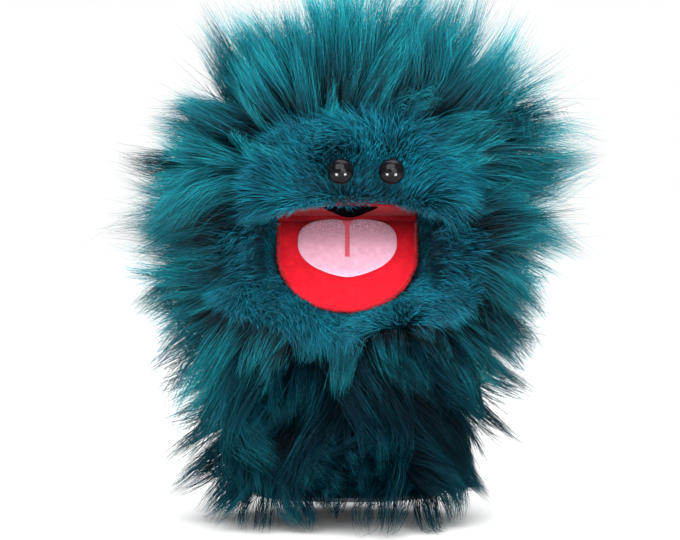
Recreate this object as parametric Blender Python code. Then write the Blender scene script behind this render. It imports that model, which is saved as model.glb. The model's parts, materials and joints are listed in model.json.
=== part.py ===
"""Moving mouth hand puppet: a shaggy head whose mouth opens round a fabric crease.

Metres, +Z up, the face looks along -Y, and the hem of the sleeve stands on Z = 0.
The solids belong to four groups, each with its origin on the axis that it turns about:
the sleeve (fixed), the palm (nods at the wrist), the upper head (tips at the knuckles)
and the lower jaw (opens and shuts the mouth). Near each axis the groups keep to their own
sectors, which stay apart through the whole of every range.
"""
from math import ceil, cos, pi, radians, sin, sqrt, tan

import bmesh
import bpy
from mathutils import Matrix, Vector

# ---- overall sizes -----------------------------------------------------------------
HEAD_WIDTH = 0.285           # across the bulk of the pile at the mouth
TOTAL_HEIGHT = 0.303         # hem to the bulk of the crown pile
CREASE_HEIGHT = 0.175        # mouth crease above the hem
DOME_RISE = 0.020            # widest level of the head above the crease

# ---- under the pile ----------------------------------------------------------------
SKULL_CROWN = 0.062          # from the widest level up to the crown
FINGERTIP_PADDING = 0.0155   # finger pocket to the front of the skull
KNUCKLE_PADDING = 0.0230     # finger pocket to the back of the skull
SIDE_PADDING = 0.0395        # finger pocket to the sides of the skull
FACE_PILE = 0.012            # trimmed pile in front of the skull

# ---- mouth -------------------------------------------------------------------------
MOUTH_WIDTH = 0.086
MOUTH_DEPTH = 0.070
UPPER_TILT = 5.5             # degrees above level, crease to upper lip
LOWER_TILT = 54.0            # degrees below level, crease to lower lip
LINING_PILE = 0.0030
BOARD_THICKNESS = 0.0020
CREASE_TAPE_RADIUS = 0.0030
TONGUE_WIDTH = 0.061
TONGUE_START = 0.006         # from the crease
TONGUE_LENGTH = 0.040
TONGUE_THICKNESS = 0.0015
TONGUE_WIDEST = 0.40         # place of the greatest width, as a share of the length
TONGUE_CORNERS = 0.5         # 1 makes the root round, 0 square
TONGUE_NOTCH = 0.0015        # between the two lobes of the root
TONGUE_NOTCH_SHARE = 0.25    # of the half width that the notch spreads over
BOARD_SETBACK = 0.0093       # lower board's start from the crease, clear of the upper one

# ---- eyes --------------------------------------------------------------------------
EYE_DIAMETER = 0.0150
EYE_DOME = 0.0065            # height of the dome
EYE_SPACING = 0.0292
EYE_MIDDLE_X = 0.0105        # the face is worn a little to one side
EYE_HEIGHT = 0.0265          # above the crease
STEM_DIAMETER = 0.0060
STEM_BEHIND_SKULL = 0.0060   # stem that stands inside the head
WASHER_DIAMETER = 0.0150
WASHER_THICKNESS = 0.0016

# ---- lower jaw ---------------------------------------------------------------------
JAW_WIDTH = 0.270
JAW_REACH = 0.090            # crease to the front of the chin pile
JAW_DROP = 0.057             # lining to the underside of the chin pile
JAW_MIDDLE = 0.035           # crease to the widest part of the jaw
JAW_SINK = 0.012             # widest part of the jaw below the lining
JAW_BACK_ANGLE = 97.0        # degrees below level of the back face of the jaw
CHIN_PILE = 0.016            # pile over the stuffing, in front and below
CHEEK_PILE = 0.054           # pile over the stuffing, at the sides

# ---- pockets for the hand ------------------------------------------------------------
HAND_WIDTH = 0.112           # clear width of the sleeve
HAND_DEPTH = 0.064           # clear depth of the sleeve
HAND_AXIS_Y = 0.015          # the forearm stands a little behind the crease
FINGER_SPACE = (0.074, 0.020)   # clear width and height
FINGER_REACH = 0.058         # past the crease
FINGER_BACK = 0.042          # behind the crease
THUMB_SPACE = (0.030, 0.016)
THUMB_REACH = 0.058
POCKET_WALL = 0.0015

# ---- sleeve ------------------------------------------------------------------------
HEM_WIDTH = 0.150
HEM_DEPTH = 0.102
WRIST_WIDTH = 0.178
WRIST_DEPTH = 0.118
NAPE_WIDTH = 0.186
NAPE_DEPTH = 0.120
SLEEVE_SWELL = 1.02          # half-way up, against a straight side
HEM_BAND_HEIGHT = 0.012
HEM_BAND_THICKNESS = 0.0040
LINING_THICKNESS = 0.0020
WRIST_HEIGHT = 0.065         # nod axis above the hem

# ---- ranges and clearances ---------------------------------------------------------
NOD_ROOM = 9.0               # degrees taken off each side of the wrist
TIP_BACK_PLANE = 167.0       # back underside of the head, degrees round from the front
PALM_TOP_PLANE = 187.0       # top of the palm, the same way round
PALM_FRONT_PLANE = -118.0    # front of the palm
JAW_OPEN_PLANE = 30.0        # the jaw's room is cut from the palm's front up to here
JAW_SWEEP = 0.005            # past the jaw's furthest point from the crease
GAP = 0.0003                 # between pieces that touch
AXIS_GAP = 0.001             # between bodies where they meet at an axis
PALM_AXIS_ROOM = 0.006       # palm's clearance round the crease
JAW_AXIS_ROOM = 0.0045       # jaw's clearance round the crease
NEARLY_ROUND = 352.5         # degrees of a sector that clears an axis on all sides
ROOM = 0.02                  # cutters reach this far past a plate
BEYOND = 0.5                 # cutters reach past everything
WELD = 1e-6                  # corners this near are one
EYE_ROOM = 0.06              # eye seats are cut this far in front of the face

# ---- fineness ----------------------------------------------------------------------
TUBE_FACETS = 48
PILE_FACETS = (40, 20)       # round and along the outer balls of pile
STUFFING_FACETS = (32, 16)
SPIN_STEPS = 24
DOME_STEPS = 8
TAPE_STEPS = 16
OUTLINE_STEPS = 20           # in each half of a rounded outline
SECTOR_STEP = 7.5            # degrees
SWEEP_STEPS = 90
SMOOTH_BELOW = 35.0          # degrees between faces

# ---- worked out --------------------------------------------------------------------
CREASE = Vector((0.0, 0.0, CREASE_HEIGHT))
WRIST = Vector((0.0, HAND_AXIS_Y, WRIST_HEIGHT))
SKULL_FRONT = FINGER_REACH + POCKET_WALL + FINGERTIP_PADDING
SKULL_BACK = FINGER_BACK + KNUCKLE_PADDING
SKULL_RADII = Vector((
    FINGER_SPACE[0] / 2 + POCKET_WALL + SIDE_PADDING, (SKULL_FRONT + SKULL_BACK) / 2, SKULL_CROWN))
SKULL_CENTRE = Vector((0.0, (SKULL_BACK - SKULL_FRONT) / 2, CREASE_HEIGHT + DOME_RISE))


def surface_share(x, rise, half_width, half_height):
    """An ellipsoid's depth beside and above its middle, as a share of its depth there."""
    return sqrt(1 - (x / half_width) ** 2 - (rise / half_height) ** 2)


# the head's back is as far behind the crease as the prouder eye is in front of it
HEAD_TOP = TOTAL_HEIGHT - CREASE_HEIGHT - DOME_RISE
HEAD_FRONT = SKULL_FRONT + FACE_PILE
EYE_SHARE = surface_share(
    abs(EYE_MIDDLE_X) - EYE_SPACING / 2, EYE_HEIGHT - DOME_RISE, HEAD_WIDTH / 2, HEAD_TOP)
HEAD_BACK = (HEAD_FRONT * (1 + EYE_SHARE) / 2 + EYE_DOME) / ((3 - EYE_SHARE) / 2)
HEAD_RADII = Vector((HEAD_WIDTH / 2, (HEAD_FRONT + HEAD_BACK) / 2, HEAD_TOP))
HEAD_CENTRE = Vector((0.0, (HEAD_BACK - HEAD_FRONT) / 2, CREASE_HEIGHT + DOME_RISE))
LINING_FACE = 0.0005                                # lining's face off the mouth plane
LINING_BACK = LINING_FACE + LINING_PILE
BOARD_FACE = LINING_BACK + GAP
BOARD_BACK = BOARD_FACE + BOARD_THICKNESS
POCKET_FACE = BOARD_BACK + GAP
MOUTH_START = CREASE_TAPE_RADIUS + 2 * GAP          # linings and boards begin here
JAW_RADII = Vector((JAW_WIDTH / 2, JAW_REACH - JAW_MIDDLE, JAW_DROP - JAW_SINK))
JAW_CENTRE = Vector((0.0, -JAW_MIDDLE, -JAW_SINK))  # in the jaw's own frame


# ---- materials ---------------------------------------------------------------------
def material(name, colour, roughness, metallic=0.0):
    """Make one Principled material."""
    made = bpy.data.materials.new(name)
    made.use_nodes = True
    shader = made.node_tree.nodes["Principled BSDF"]
    shader.inputs["Base Color"].default_value = (*colour, 1.0)
    shader.inputs["Roughness"].default_value = roughness
    shader.inputs["Metallic"].default_value = metallic
    return made


# ---- meshes ------------------------------------------------------------------------
def place(name, mesh_maker, finish, location=(0, 0, 0), turn=0.0, smooth=True):
    """Turn a filled bmesh into a named object, with its origin on its axis."""
    data = bpy.data.meshes.new(name)
    built = bmesh.new()
    mesh_maker(built)
    bmesh.ops.recalc_face_normals(built, faces=built.faces)
    built.to_mesh(data)
    built.free()
    made = bpy.data.objects.new(name, data)
    bpy.context.scene.collection.objects.link(made)
    made.location = location
    made.rotation_euler = (radians(turn), 0.0, 0.0)
    if finish:
        data.materials.append(finish)
    if smooth:
        data.shade_smooth()
        data.set_sharp_from_angle(angle=radians(SMOOTH_BELOW))
    return made


def cutter(name, mesh_maker, location=(0, 0, 0), turn=0.0):
    """Make a hidden tool for a Boolean."""
    made = place(name, mesh_maker, None, location, turn, smooth=False)
    made.hide_render = True
    made.display_type = "WIRE"
    return made


def boolean(target, tool, operation):
    """Cut with, or keep only what lies in, a hidden tool."""
    step = target.modifiers.new(tool.name, "BOOLEAN")
    step.operation = operation
    step.solver = "EXACT"
    step.object = tool


def cut(target, *tools):
    for tool in tools:
        boolean(target, tool, "DIFFERENCE")


def keep(target, *tools):
    for tool in tools:
        boolean(target, tool, "INTERSECT")


def ellipsoid(centre, radii, facets=STUFFING_FACETS):
    """A ball stretched to three radii."""
    around, rings = facets

    def build(mesh):
        stretch = Matrix.Translation(centre) @ Matrix.Diagonal((*radii, 1.0))
        bmesh.ops.create_uvsphere(
            mesh, u_segments=around, v_segments=rings, radius=1.0, matrix=stretch)
    return build


def block(low, high):
    """A box between two corners."""
    def build(mesh):
        low_v = Vector(low)
        high_v = Vector(high)
        size = high_v - low_v
        stretch = Matrix.Translation((low_v + high_v) / 2) @ Matrix.Diagonal((*size, 1.0))
        bmesh.ops.create_cube(mesh, size=1.0, matrix=stretch)
    return build


def prism(points, axis, low, high):
    """A flat outline, drawn out straight along X or Z."""
    def build(mesh):
        if axis == "X":
            corners = [mesh.verts.new((low, a, b)) for a, b in points]
            step = Vector((high - low, 0, 0))
        else:
            corners = [mesh.verts.new((a, b, low)) for a, b in points]
            step = Vector((0, 0, high - low))
        face = mesh.faces.new(corners)
        drawn = bmesh.ops.extrude_face_region(mesh, geom=[face])
        moved = [item for item in drawn["geom"] if isinstance(item, bmesh.types.BMVert)]
        bmesh.ops.translate(mesh, verts=moved, vec=step)
    return build


def sector(start, end, outer, inner=0.0):
    """The wedge between two angles round an X axis: 0 is the front, 90 is up."""
    def ring(radius, angles):
        return [(-radius * cos(radians(a)), radius * sin(radians(a))) for a in angles]

    steps = max(2, ceil(abs(end - start) / SECTOR_STEP))
    angles = [start + (end - start) * i / steps for i in range(steps + 1)]
    points = ring(outer, angles)
    if inner > 0:
        points += ring(inner, reversed(angles))
    else:
        points.append((0.0, 0.0))
    return prism(points, "X", -BEYOND, BEYOND)


def stacked(levels):
    """A closed tube of ellipses: each level is (z, centre y, half width, half depth)."""
    def build(mesh):
        rings = []
        for z, centre_y, half_width, half_depth in levels:
            ring = []
            for i in range(TUBE_FACETS):
                turn = 2 * pi * i / TUBE_FACETS
                ring.append(mesh.verts.new(
                    (half_width * cos(turn), centre_y + half_depth * sin(turn), z)))
            rings.append(ring)
        for lower, upper in zip(rings, rings[1:]):
            for i in range(TUBE_FACETS):
                j = (i + 1) % TUBE_FACETS
                mesh.faces.new((lower[i], lower[j], upper[j], upper[i]))
        mesh.faces.new(rings[0])
        mesh.faces.new(rings[-1])
    return build


def turned(profile, closed=False):
    """Spin a profile of (radius, height) round Z. An open one has both ends on the axis."""
    def build(mesh):
        corners = [mesh.verts.new((radius, 0.0, height)) for radius, height in profile]
        pairs = list(zip(corners, corners[1:]))
        if closed:
            pairs.append((corners[-1], corners[0]))
        edges = [mesh.edges.new(pair) for pair in pairs]
        bmesh.ops.spin(
            mesh, geom=corners + edges, cent=(0, 0, 0), axis=(0, 0, 1),
            angle=2 * pi, steps=SPIN_STEPS, use_merge=True)
        bmesh.ops.remove_doubles(mesh, verts=mesh.verts, dist=WELD)
    return build


def mouth_outline(grow=0.0, start=MOUTH_START):
    """The mouth plate in plan: straight sides, then a round front."""
    half = MOUTH_WIDTH / 2 + grow
    straight = MOUTH_DEPTH - MOUTH_WIDTH / 2
    points = [(half, -start)]
    for i in range(OUTLINE_STEPS + 1):
        turn = pi * i / OUTLINE_STEPS
        points.append((half * cos(turn), -straight - half * sin(turn)))
    points.append((-half, -start))
    return points


def tongue_outline():
    """The felt tongue in plan: a slack double lobe at the root, one round tip."""
    half = TONGUE_WIDTH / 2
    widest = TONGUE_START + TONGUE_LENGTH * TONGUE_WIDEST
    points = []
    for i in range(OUTLINE_STEPS + 1):
        turn = pi * i / OUTLINE_STEPS
        reach = (TONGUE_START + TONGUE_LENGTH - widest) * sin(turn)
        points.append((half * cos(turn), -widest - reach))
    for i in range(1, OUTLINE_STEPS):
        turn = pi + pi * i / OUTLINE_STEPS
        lobe = abs(sin(turn)) ** TONGUE_CORNERS
        dip = TONGUE_NOTCH * max(0.0, 1 - abs(cos(turn)) / TONGUE_NOTCH_SHARE)
        points.append((half * cos(turn), -widest + (widest - TONGUE_START) * lobe - dip))
    return points


def plate(outline, low, high):
    return prism(outline, "Z", low, high)


# ---- shared outlines ------------------------------------------------------------------
def tube_levels(grow, low, high):
    """The clear space for the hand, grown on all sides."""
    half_width = HAND_WIDTH / 2 + grow
    half_depth = HAND_DEPTH / 2 + grow
    return [(low, HAND_AXIS_Y, half_width, half_depth), (high, HAND_AXIS_Y, half_width, half_depth)]


def wrist_side(sign):
    """All that lies on one side of the wrist, less the room that it nods in."""
    slope = tan(radians(NOD_ROOM))
    edge = BEYOND * slope
    points = [
        (-BEYOND, sign * (AXIS_GAP + edge)),
        (0.0, sign * AXIS_GAP),
        (BEYOND, sign * (AXIS_GAP + edge)),
        (BEYOND, sign * (BEYOND + edge)),
        (-BEYOND, sign * (BEYOND + edge)),
    ]
    return prism(points, "X", -BEYOND, BEYOND)


def clear_scene():
    for old in list(bpy.data.objects):
        bpy.data.objects.remove(old, do_unlink=True)


def build_sleeve(fur, satin, binding):
    """The fixed part: two fur panels, the lining and the hem band."""
    outer = [
        (0.0, HAND_AXIS_Y, HEM_WIDTH / 2, HEM_DEPTH / 2),
        (WRIST_HEIGHT / 2, HAND_AXIS_Y, (HEM_WIDTH + WRIST_WIDTH) / 4 * SLEEVE_SWELL,
         (HEM_DEPTH + WRIST_DEPTH) / 4 * SLEEVE_SWELL),
        (WRIST_HEIGHT, HAND_AXIS_Y, WRIST_WIDTH / 2, WRIST_DEPTH / 2),
    ]
    below = cutter("wrist_below", wrist_side(-1), WRIST)
    room = cutter(
        "sleeve_room", stacked(tube_levels(LINING_THICKNESS + GAP, -BEYOND, BEYOND)))
    hem_room = cutter("hem_room", stacked(
        tube_levels(HEM_BAND_THICKNESS + GAP, -BEYOND, HEM_BAND_HEIGHT + GAP)))
    halves = {
        "sleeve_fur_front": block(
            (-BEYOND, -BEYOND, -BEYOND), (BEYOND, HAND_AXIS_Y - GAP / 2, BEYOND)),
        "sleeve_fur_back": block(
            (-BEYOND, HAND_AXIS_Y + GAP / 2, -BEYOND), (BEYOND, BEYOND, BEYOND)),
    }
    for name, half in halves.items():
        panel = place(name, stacked(outer), fur)
        keep(panel, below)
        cut(panel, room, hem_room)
        keep(panel, cutter(name + "_half", half))

    lining = place("sleeve_lining", stacked(
        tube_levels(LINING_THICKNESS, HEM_BAND_HEIGHT + GAP, WRIST_HEIGHT)), satin)
    hand = cutter("hand_space", stacked(tube_levels(0.0, -BEYOND, BEYOND)))
    keep(lining, below)
    cut(lining, hand)

    hem = place("sleeve_hem_band", stacked(
        tube_levels(HEM_BAND_THICKNESS, 0.0, HEM_BAND_HEIGHT)), binding)
    cut(hem, hand)
    return room, hand


def build_palm(fur, satin, room, hand):
    """The back of the hand: a fur panel and its lining, cut clear of head and jaw."""
    sweep = jaw_sweep()
    outer = [
        (WRIST_HEIGHT, HAND_AXIS_Y, WRIST_WIDTH / 2, WRIST_DEPTH / 2),
        (CREASE_HEIGHT, HAND_AXIS_Y, NAPE_WIDTH / 2, NAPE_DEPTH / 2),
    ]
    above = cutter("wrist_above", wrist_side(1), WRIST)
    jaw_room = cutter("jaw_room", sector(PALM_FRONT_PLANE, JAW_OPEN_PLANE, sweep), CREASE)
    head_room = cutter("head_room", sector(0.0, PALM_TOP_PLANE, BEYOND), CREASE)
    axis_room = cutter("crease_room", sector(0.0, NEARLY_ROUND, PALM_AXIS_ROOM), CREASE)

    panel = place("palm_fur", stacked(outer), fur)
    keep(panel, above)
    cut(panel, room, jaw_room, head_room, axis_room)

    lining = place("palm_lining", stacked(
        tube_levels(LINING_THICKNESS, WRIST_HEIGHT, CREASE_HEIGHT)), satin)
    keep(lining, above)
    cut(lining, hand, jaw_room, head_room, axis_room)


def jaw_sweep():
    """How far from the crease the palm must stay for the jaw to swing past it."""
    furthest = 0.0
    for i in range(SWEEP_STEPS + 1):
        turn = pi / 2 * i / SWEEP_STEPS
        reach = -JAW_CENTRE.y + JAW_RADII.y * cos(turn)
        drop = -JAW_CENTRE.z + JAW_RADII.z * sin(turn)
        furthest = max(furthest, sqrt(reach * reach + drop * drop))
    return furthest + JAW_SWEEP


def eye_places():
    """Each eye's name, place on the face, and the skull's surface behind it."""
    for side, offset in (("left", -EYE_SPACING / 2), ("right", EYE_SPACING / 2)):
        x = EYE_MIDDLE_X + offset
        z = CREASE_HEIGHT + EYE_HEIGHT
        rise = z - HEAD_CENTRE.z
        front = HEAD_CENTRE.y - HEAD_RADII.y * surface_share(x, rise, HEAD_RADII.x, HEAD_RADII.z)
        skull = SKULL_CENTRE.y - SKULL_RADII.y * surface_share(x, rise, SKULL_RADII.x, SKULL_RADII.z)
        yield side, Vector((x, front, z)), skull


def build_eyes(gloss, plain, fur_front, stuffing):
    """Safety eyes: a domed head on a stem, held by a washer behind the fur."""
    radius = EYE_DIAMETER / 2
    stem = STEM_DIAMETER / 2
    disc = WASHER_DIAMETER / 2
    for side, spot, skull in eye_places():
        length = skull - spot.y + STEM_BEHIND_SKULL
        washer_front = skull - spot.y + 2 * GAP
        washer_back = washer_front + WASHER_THICKNESS
        dome = []
        for i in range(DOME_STEPS + 1):
            turn = pi / 2 * i / DOME_STEPS
            dome.append((radius * sin(turn), EYE_DOME * cos(turn)))
        place("eye_" + side, turned(
            dome + [(stem, 0.0), (stem, -length), (0.0, -length)]), gloss, spot, 90.0)
        place("eye_washer_" + side, turned([
            (stem + GAP, -washer_back), (disc, -washer_back),
            (disc, -washer_front), (stem + GAP, -washer_front)], closed=True),
            plain, spot, 90.0)
        seat = cutter("eye_seat_" + side, turned([
            (0.0, EYE_ROOM), (radius + GAP, EYE_ROOM), (radius + GAP, -GAP),
            (stem + GAP, -GAP), (stem + GAP, -washer_front + GAP),
            (disc + GAP, -washer_front + GAP), (disc + GAP, -washer_back - GAP),
            (stem + GAP, -washer_back - GAP), (stem + GAP, -length - GAP),
            (0.0, -length - GAP)]), spot, 90.0)
        cut(fur_front, seat)
        cut(stuffing, seat)


def pocket(name, space, front, back, face, side, finish, turn, bounds):
    """A flat fabric pocket beside a mouth board, open at the back. Says how far it reaches."""
    half = space[0] / 2
    wall = POCKET_WALL
    near = side * face
    far = side * (face + 2 * wall + space[1])
    low, high = min(near, far), max(near, far)
    cloth = place(name, block(
        (-half - wall, -front - wall, low), (half + wall, back, high)),
        finish, CREASE, turn, smooth=False)
    inside = cutter(name + "_space", block(
        (-half, -front, low + wall), (half, BEYOND, high - wall)), CREASE, turn)
    keep(cloth, *bounds)
    cut(cloth, inside)
    return half + wall, front + wall, back, face + 2 * wall + space[1]


def build_upper_head(fur, plush, board, satin, foam, gloss, plain):
    """The dome over the fingers."""
    whole = cutter("head_sector", sector(UPPER_TILT, TIP_BACK_PLANE, BEYOND), CREASE)

    tape = []
    for i in range(TAPE_STEPS):
        turn = 2 * pi * i / TAPE_STEPS
        tape.append((CREASE_TAPE_RADIUS * cos(turn), CREASE_TAPE_RADIUS * sin(turn)))
    place("mouth_crease_tape", prism(
        tape, "X", -MOUTH_WIDTH / 2, MOUTH_WIDTH / 2), satin, CREASE)
    place("upper_mouth_lining", plate(
        mouth_outline(), LINING_FACE, LINING_BACK), plush, CREASE, -UPPER_TILT)
    place("upper_mouth_board", plate(
        mouth_outline(), BOARD_FACE, BOARD_BACK), board, CREASE, -UPPER_TILT)
    reach = pocket(
        "finger_pocket", FINGER_SPACE, FINGER_REACH, FINGER_BACK, POCKET_FACE, 1,
        satin, -UPPER_TILT, [whole])

    # the skull's space in the fur, with a rolled lip left under it in front
    lip = cutter("lip_floor", block(
        (-BEYOND, -BEYOND, -BEYOND), (BEYOND, 0.0, POCKET_FACE - GAP)), CREASE, -UPPER_TILT)
    skull_room = cutter("skull_room", ellipsoid(SKULL_CENTRE, SKULL_RADII))
    cut(skull_room, lip)
    mouth_room = cutter("upper_mouth_room", plate(
        mouth_outline(GAP, -MOUTH_START), -ROOM, POCKET_FACE + GAP),
        CREASE, -UPPER_TILT)
    pocket_room = cutter("finger_room", block(
        (-reach[0] - GAP, -reach[1] - GAP, -ROOM), (reach[0] + GAP, reach[2] + GAP, reach[3] + GAP)),
        CREASE, -UPPER_TILT)
    tape_room = cutter("tape_room", sector(0.0, NEARLY_ROUND, MOUTH_START), CREASE)

    panels = {}
    halves = {
        "head_fur_front": block(
            (-BEYOND, -BEYOND, -BEYOND), (BEYOND, SKULL_CENTRE.y - GAP / 2, BEYOND)),
        "head_fur_back": block(
            (-BEYOND, SKULL_CENTRE.y + GAP / 2, -BEYOND), (BEYOND, BEYOND, BEYOND)),
    }
    for name, half in halves.items():
        panel = place(name, ellipsoid(HEAD_CENTRE, HEAD_RADII, PILE_FACETS), fur)
        keep(panel, whole)
        cut(panel, skull_room, mouth_room, tape_room)
        keep(panel, cutter(name + "_half", half))
        panels[name] = panel

    shrink = Vector((GAP, GAP, GAP)) * 2
    stuffing = place("head_stuffing", ellipsoid(SKULL_CENTRE, SKULL_RADII - shrink), foam)
    keep(stuffing, whole)
    cut(stuffing, cutter("stuffing_floor", block(
        (-BEYOND, -BEYOND, -BEYOND), (BEYOND, BEYOND, POCKET_FACE)), CREASE, -UPPER_TILT))
    cut(stuffing, pocket_room)
    build_eyes(gloss, plain, panels["head_fur_front"], stuffing)


def build_jaw(fur, plush, board, satin, foam, felt):
    """The chin over the thumb, in the frame of the lower mouth plate."""
    whole = cutter("jaw_sector", sector(-JAW_BACK_ANGLE, -LOWER_TILT, BEYOND), CREASE)
    place("lower_mouth_lining", plate(
        mouth_outline(), -LINING_BACK, -LINING_FACE), plush, CREASE, LOWER_TILT)
    place("lower_mouth_board", plate(
        mouth_outline(0.0, BOARD_SETBACK), -BOARD_BACK, -BOARD_FACE), board, CREASE, LOWER_TILT)
    place("tongue", plate(
        tongue_outline(), -LINING_FACE + GAP, -LINING_FACE + GAP + TONGUE_THICKNESS),
        felt, CREASE, LOWER_TILT)
    reach = pocket(
        "thumb_pocket", THUMB_SPACE, THUMB_REACH, 0.0, POCKET_FACE, -1,
        satin, LOWER_TILT, [whole])

    inner_radii = JAW_RADII - Vector((CHEEK_PILE, CHIN_PILE, CHIN_PILE))
    lip = cutter("jaw_lip_floor", block(
        (-BEYOND, -BEYOND, -POCKET_FACE + GAP), (BEYOND, BEYOND, BEYOND)), CREASE, LOWER_TILT)
    chin_room = cutter("chin_room", ellipsoid(JAW_CENTRE, inner_radii), CREASE, LOWER_TILT)
    cut(chin_room, lip)
    mouth_room = cutter("lower_mouth_room", plate(
        mouth_outline(GAP, -ROOM), -POCKET_FACE - GAP, ROOM), CREASE, LOWER_TILT)
    pocket_room = cutter("thumb_room", block(
        (-reach[0] - GAP, -reach[1] - GAP, -reach[3] - GAP), (reach[0] + GAP, ROOM, ROOM)),
        CREASE, LOWER_TILT)
    axis_room = cutter("jaw_axis_room", sector(0.0, NEARLY_ROUND, JAW_AXIS_ROOM), CREASE)

    panel = place("jaw_fur", ellipsoid(JAW_CENTRE, JAW_RADII, PILE_FACETS), fur, CREASE, LOWER_TILT)
    keep(panel, whole)
    cut(panel, chin_room, mouth_room, pocket_room, axis_room)

    shrink = Vector((GAP, GAP, GAP)) * 2
    stuffing = place("jaw_stuffing", ellipsoid(JAW_CENTRE, inner_radii - shrink),
                     foam, CREASE, LOWER_TILT)
    keep(stuffing, whole)
    cut(stuffing, cutter("jaw_stuffing_floor", block(
        (-BEYOND, -BEYOND, -POCKET_FACE), (BEYOND, BEYOND, BEYOND)), CREASE, LOWER_TILT))
    cut(stuffing, pocket_room)


def main():
    clear_scene()
    fur = material("fur", (0.010, 0.130, 0.165), 0.75)
    plush = material("mouth_plush", (0.80, 0.045, 0.065), 0.85)
    felt = material("tongue_felt", (0.80, 0.42, 0.53), 0.90)
    satin = material("lining_fabric", (0.012, 0.013, 0.016), 0.60)
    binding = material("hem_fabric", (0.010, 0.045, 0.055), 0.80)
    board = material("mouth_board", (0.035, 0.035, 0.040), 0.55)
    foam = material("stuffing", (0.80, 0.80, 0.76), 0.95)
    gloss = material("eye_gloss", (0.004, 0.004, 0.005), 0.08)
    plain = material("washer_plastic", (0.75, 0.75, 0.72), 0.50)

    room, hand = build_sleeve(fur, satin, binding)
    build_palm(fur, satin, room, hand)
    build_upper_head(fur, plush, board, satin, foam, gloss, plain)
    build_jaw(fur, plush, board, satin, foam, felt)


main()
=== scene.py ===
# %% [markdown]
# # A shaggy moving mouth puppet
# The imported model gives the frame: bodies that turn on hinges, and plain solids that hold the
# sizes. This lesson dresses it: long pile made of real strands, red plush, felt and glossy eyes.
# Every new piece takes its place from the frame, in metres, and most say which body they move with.

# %% Load the frame
import json
from math import cos, pi, radians, sin

import bmesh
import bpy
import numpy as np
from mathutils import Matrix, Vector


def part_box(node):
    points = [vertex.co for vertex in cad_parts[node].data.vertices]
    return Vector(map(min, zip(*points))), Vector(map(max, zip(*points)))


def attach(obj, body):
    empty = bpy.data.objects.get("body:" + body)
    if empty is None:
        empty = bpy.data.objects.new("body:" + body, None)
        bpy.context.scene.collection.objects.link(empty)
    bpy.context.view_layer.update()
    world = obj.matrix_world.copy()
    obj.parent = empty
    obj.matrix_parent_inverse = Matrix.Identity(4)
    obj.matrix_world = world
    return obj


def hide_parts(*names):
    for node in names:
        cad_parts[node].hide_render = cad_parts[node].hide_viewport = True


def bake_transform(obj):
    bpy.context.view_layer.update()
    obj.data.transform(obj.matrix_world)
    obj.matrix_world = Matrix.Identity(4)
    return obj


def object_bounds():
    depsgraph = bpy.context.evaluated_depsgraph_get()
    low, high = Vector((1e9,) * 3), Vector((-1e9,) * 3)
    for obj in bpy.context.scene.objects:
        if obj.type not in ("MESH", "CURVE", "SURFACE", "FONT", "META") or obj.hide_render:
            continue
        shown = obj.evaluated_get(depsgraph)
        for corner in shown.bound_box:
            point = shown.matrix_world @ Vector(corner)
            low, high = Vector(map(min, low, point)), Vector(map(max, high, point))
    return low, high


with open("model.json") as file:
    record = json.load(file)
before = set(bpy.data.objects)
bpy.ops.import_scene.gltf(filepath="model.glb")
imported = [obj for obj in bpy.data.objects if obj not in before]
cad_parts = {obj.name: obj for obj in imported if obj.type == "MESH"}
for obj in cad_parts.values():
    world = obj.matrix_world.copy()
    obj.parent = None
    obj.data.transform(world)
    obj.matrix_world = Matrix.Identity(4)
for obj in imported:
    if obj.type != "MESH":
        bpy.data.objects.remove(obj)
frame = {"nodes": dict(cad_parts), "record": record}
cad_low, cad_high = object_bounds()
print("CAD box", [round(v, 4) for v in cad_low], [round(v, 4) for v in cad_high])

# %% [markdown]
# ## Places that everything is measured from
# The hinge of the mouth is the fabric crease between the two mouth plates. Its place and the
# wrist's come from the joints. From the crease the upper plate rises a little towards its lip and
# the lower one falls steeply, so each has a tilt in degrees.

# %% Read the hinges and the mouth from the frame
joints = {joint["name"]: joint for joint in frame["record"]["behaviour"]["joints"]}
CREASE = Vector(joints["jaw_open"]["pos_m"])
WRIST = Vector(joints["wrist_nod"]["pos_m"])
UPPER_TILT = 5.5
LOWER_TILT = 54.0
mouth_low, mouth_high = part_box("lower_mouth_lining")
MOUTH_HALF = (mouth_high[0] - mouth_low[0]) / 2
MOUTH_DEPTH = 0.070
print("crease", tuple(CREASE), "half mouth", round(MOUTH_HALF, 4))
print("the mouth is open by", UPPER_TILT + LOWER_TILT, "degrees")

# %% [markdown]
# ## Shader maths that reads like maths
# One small class wraps a node's output socket, so that `1 - mask * 0.5` builds the Math nodes.
# Any other node comes from `node`, which sets the node's own choices first and then its sockets.

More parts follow.
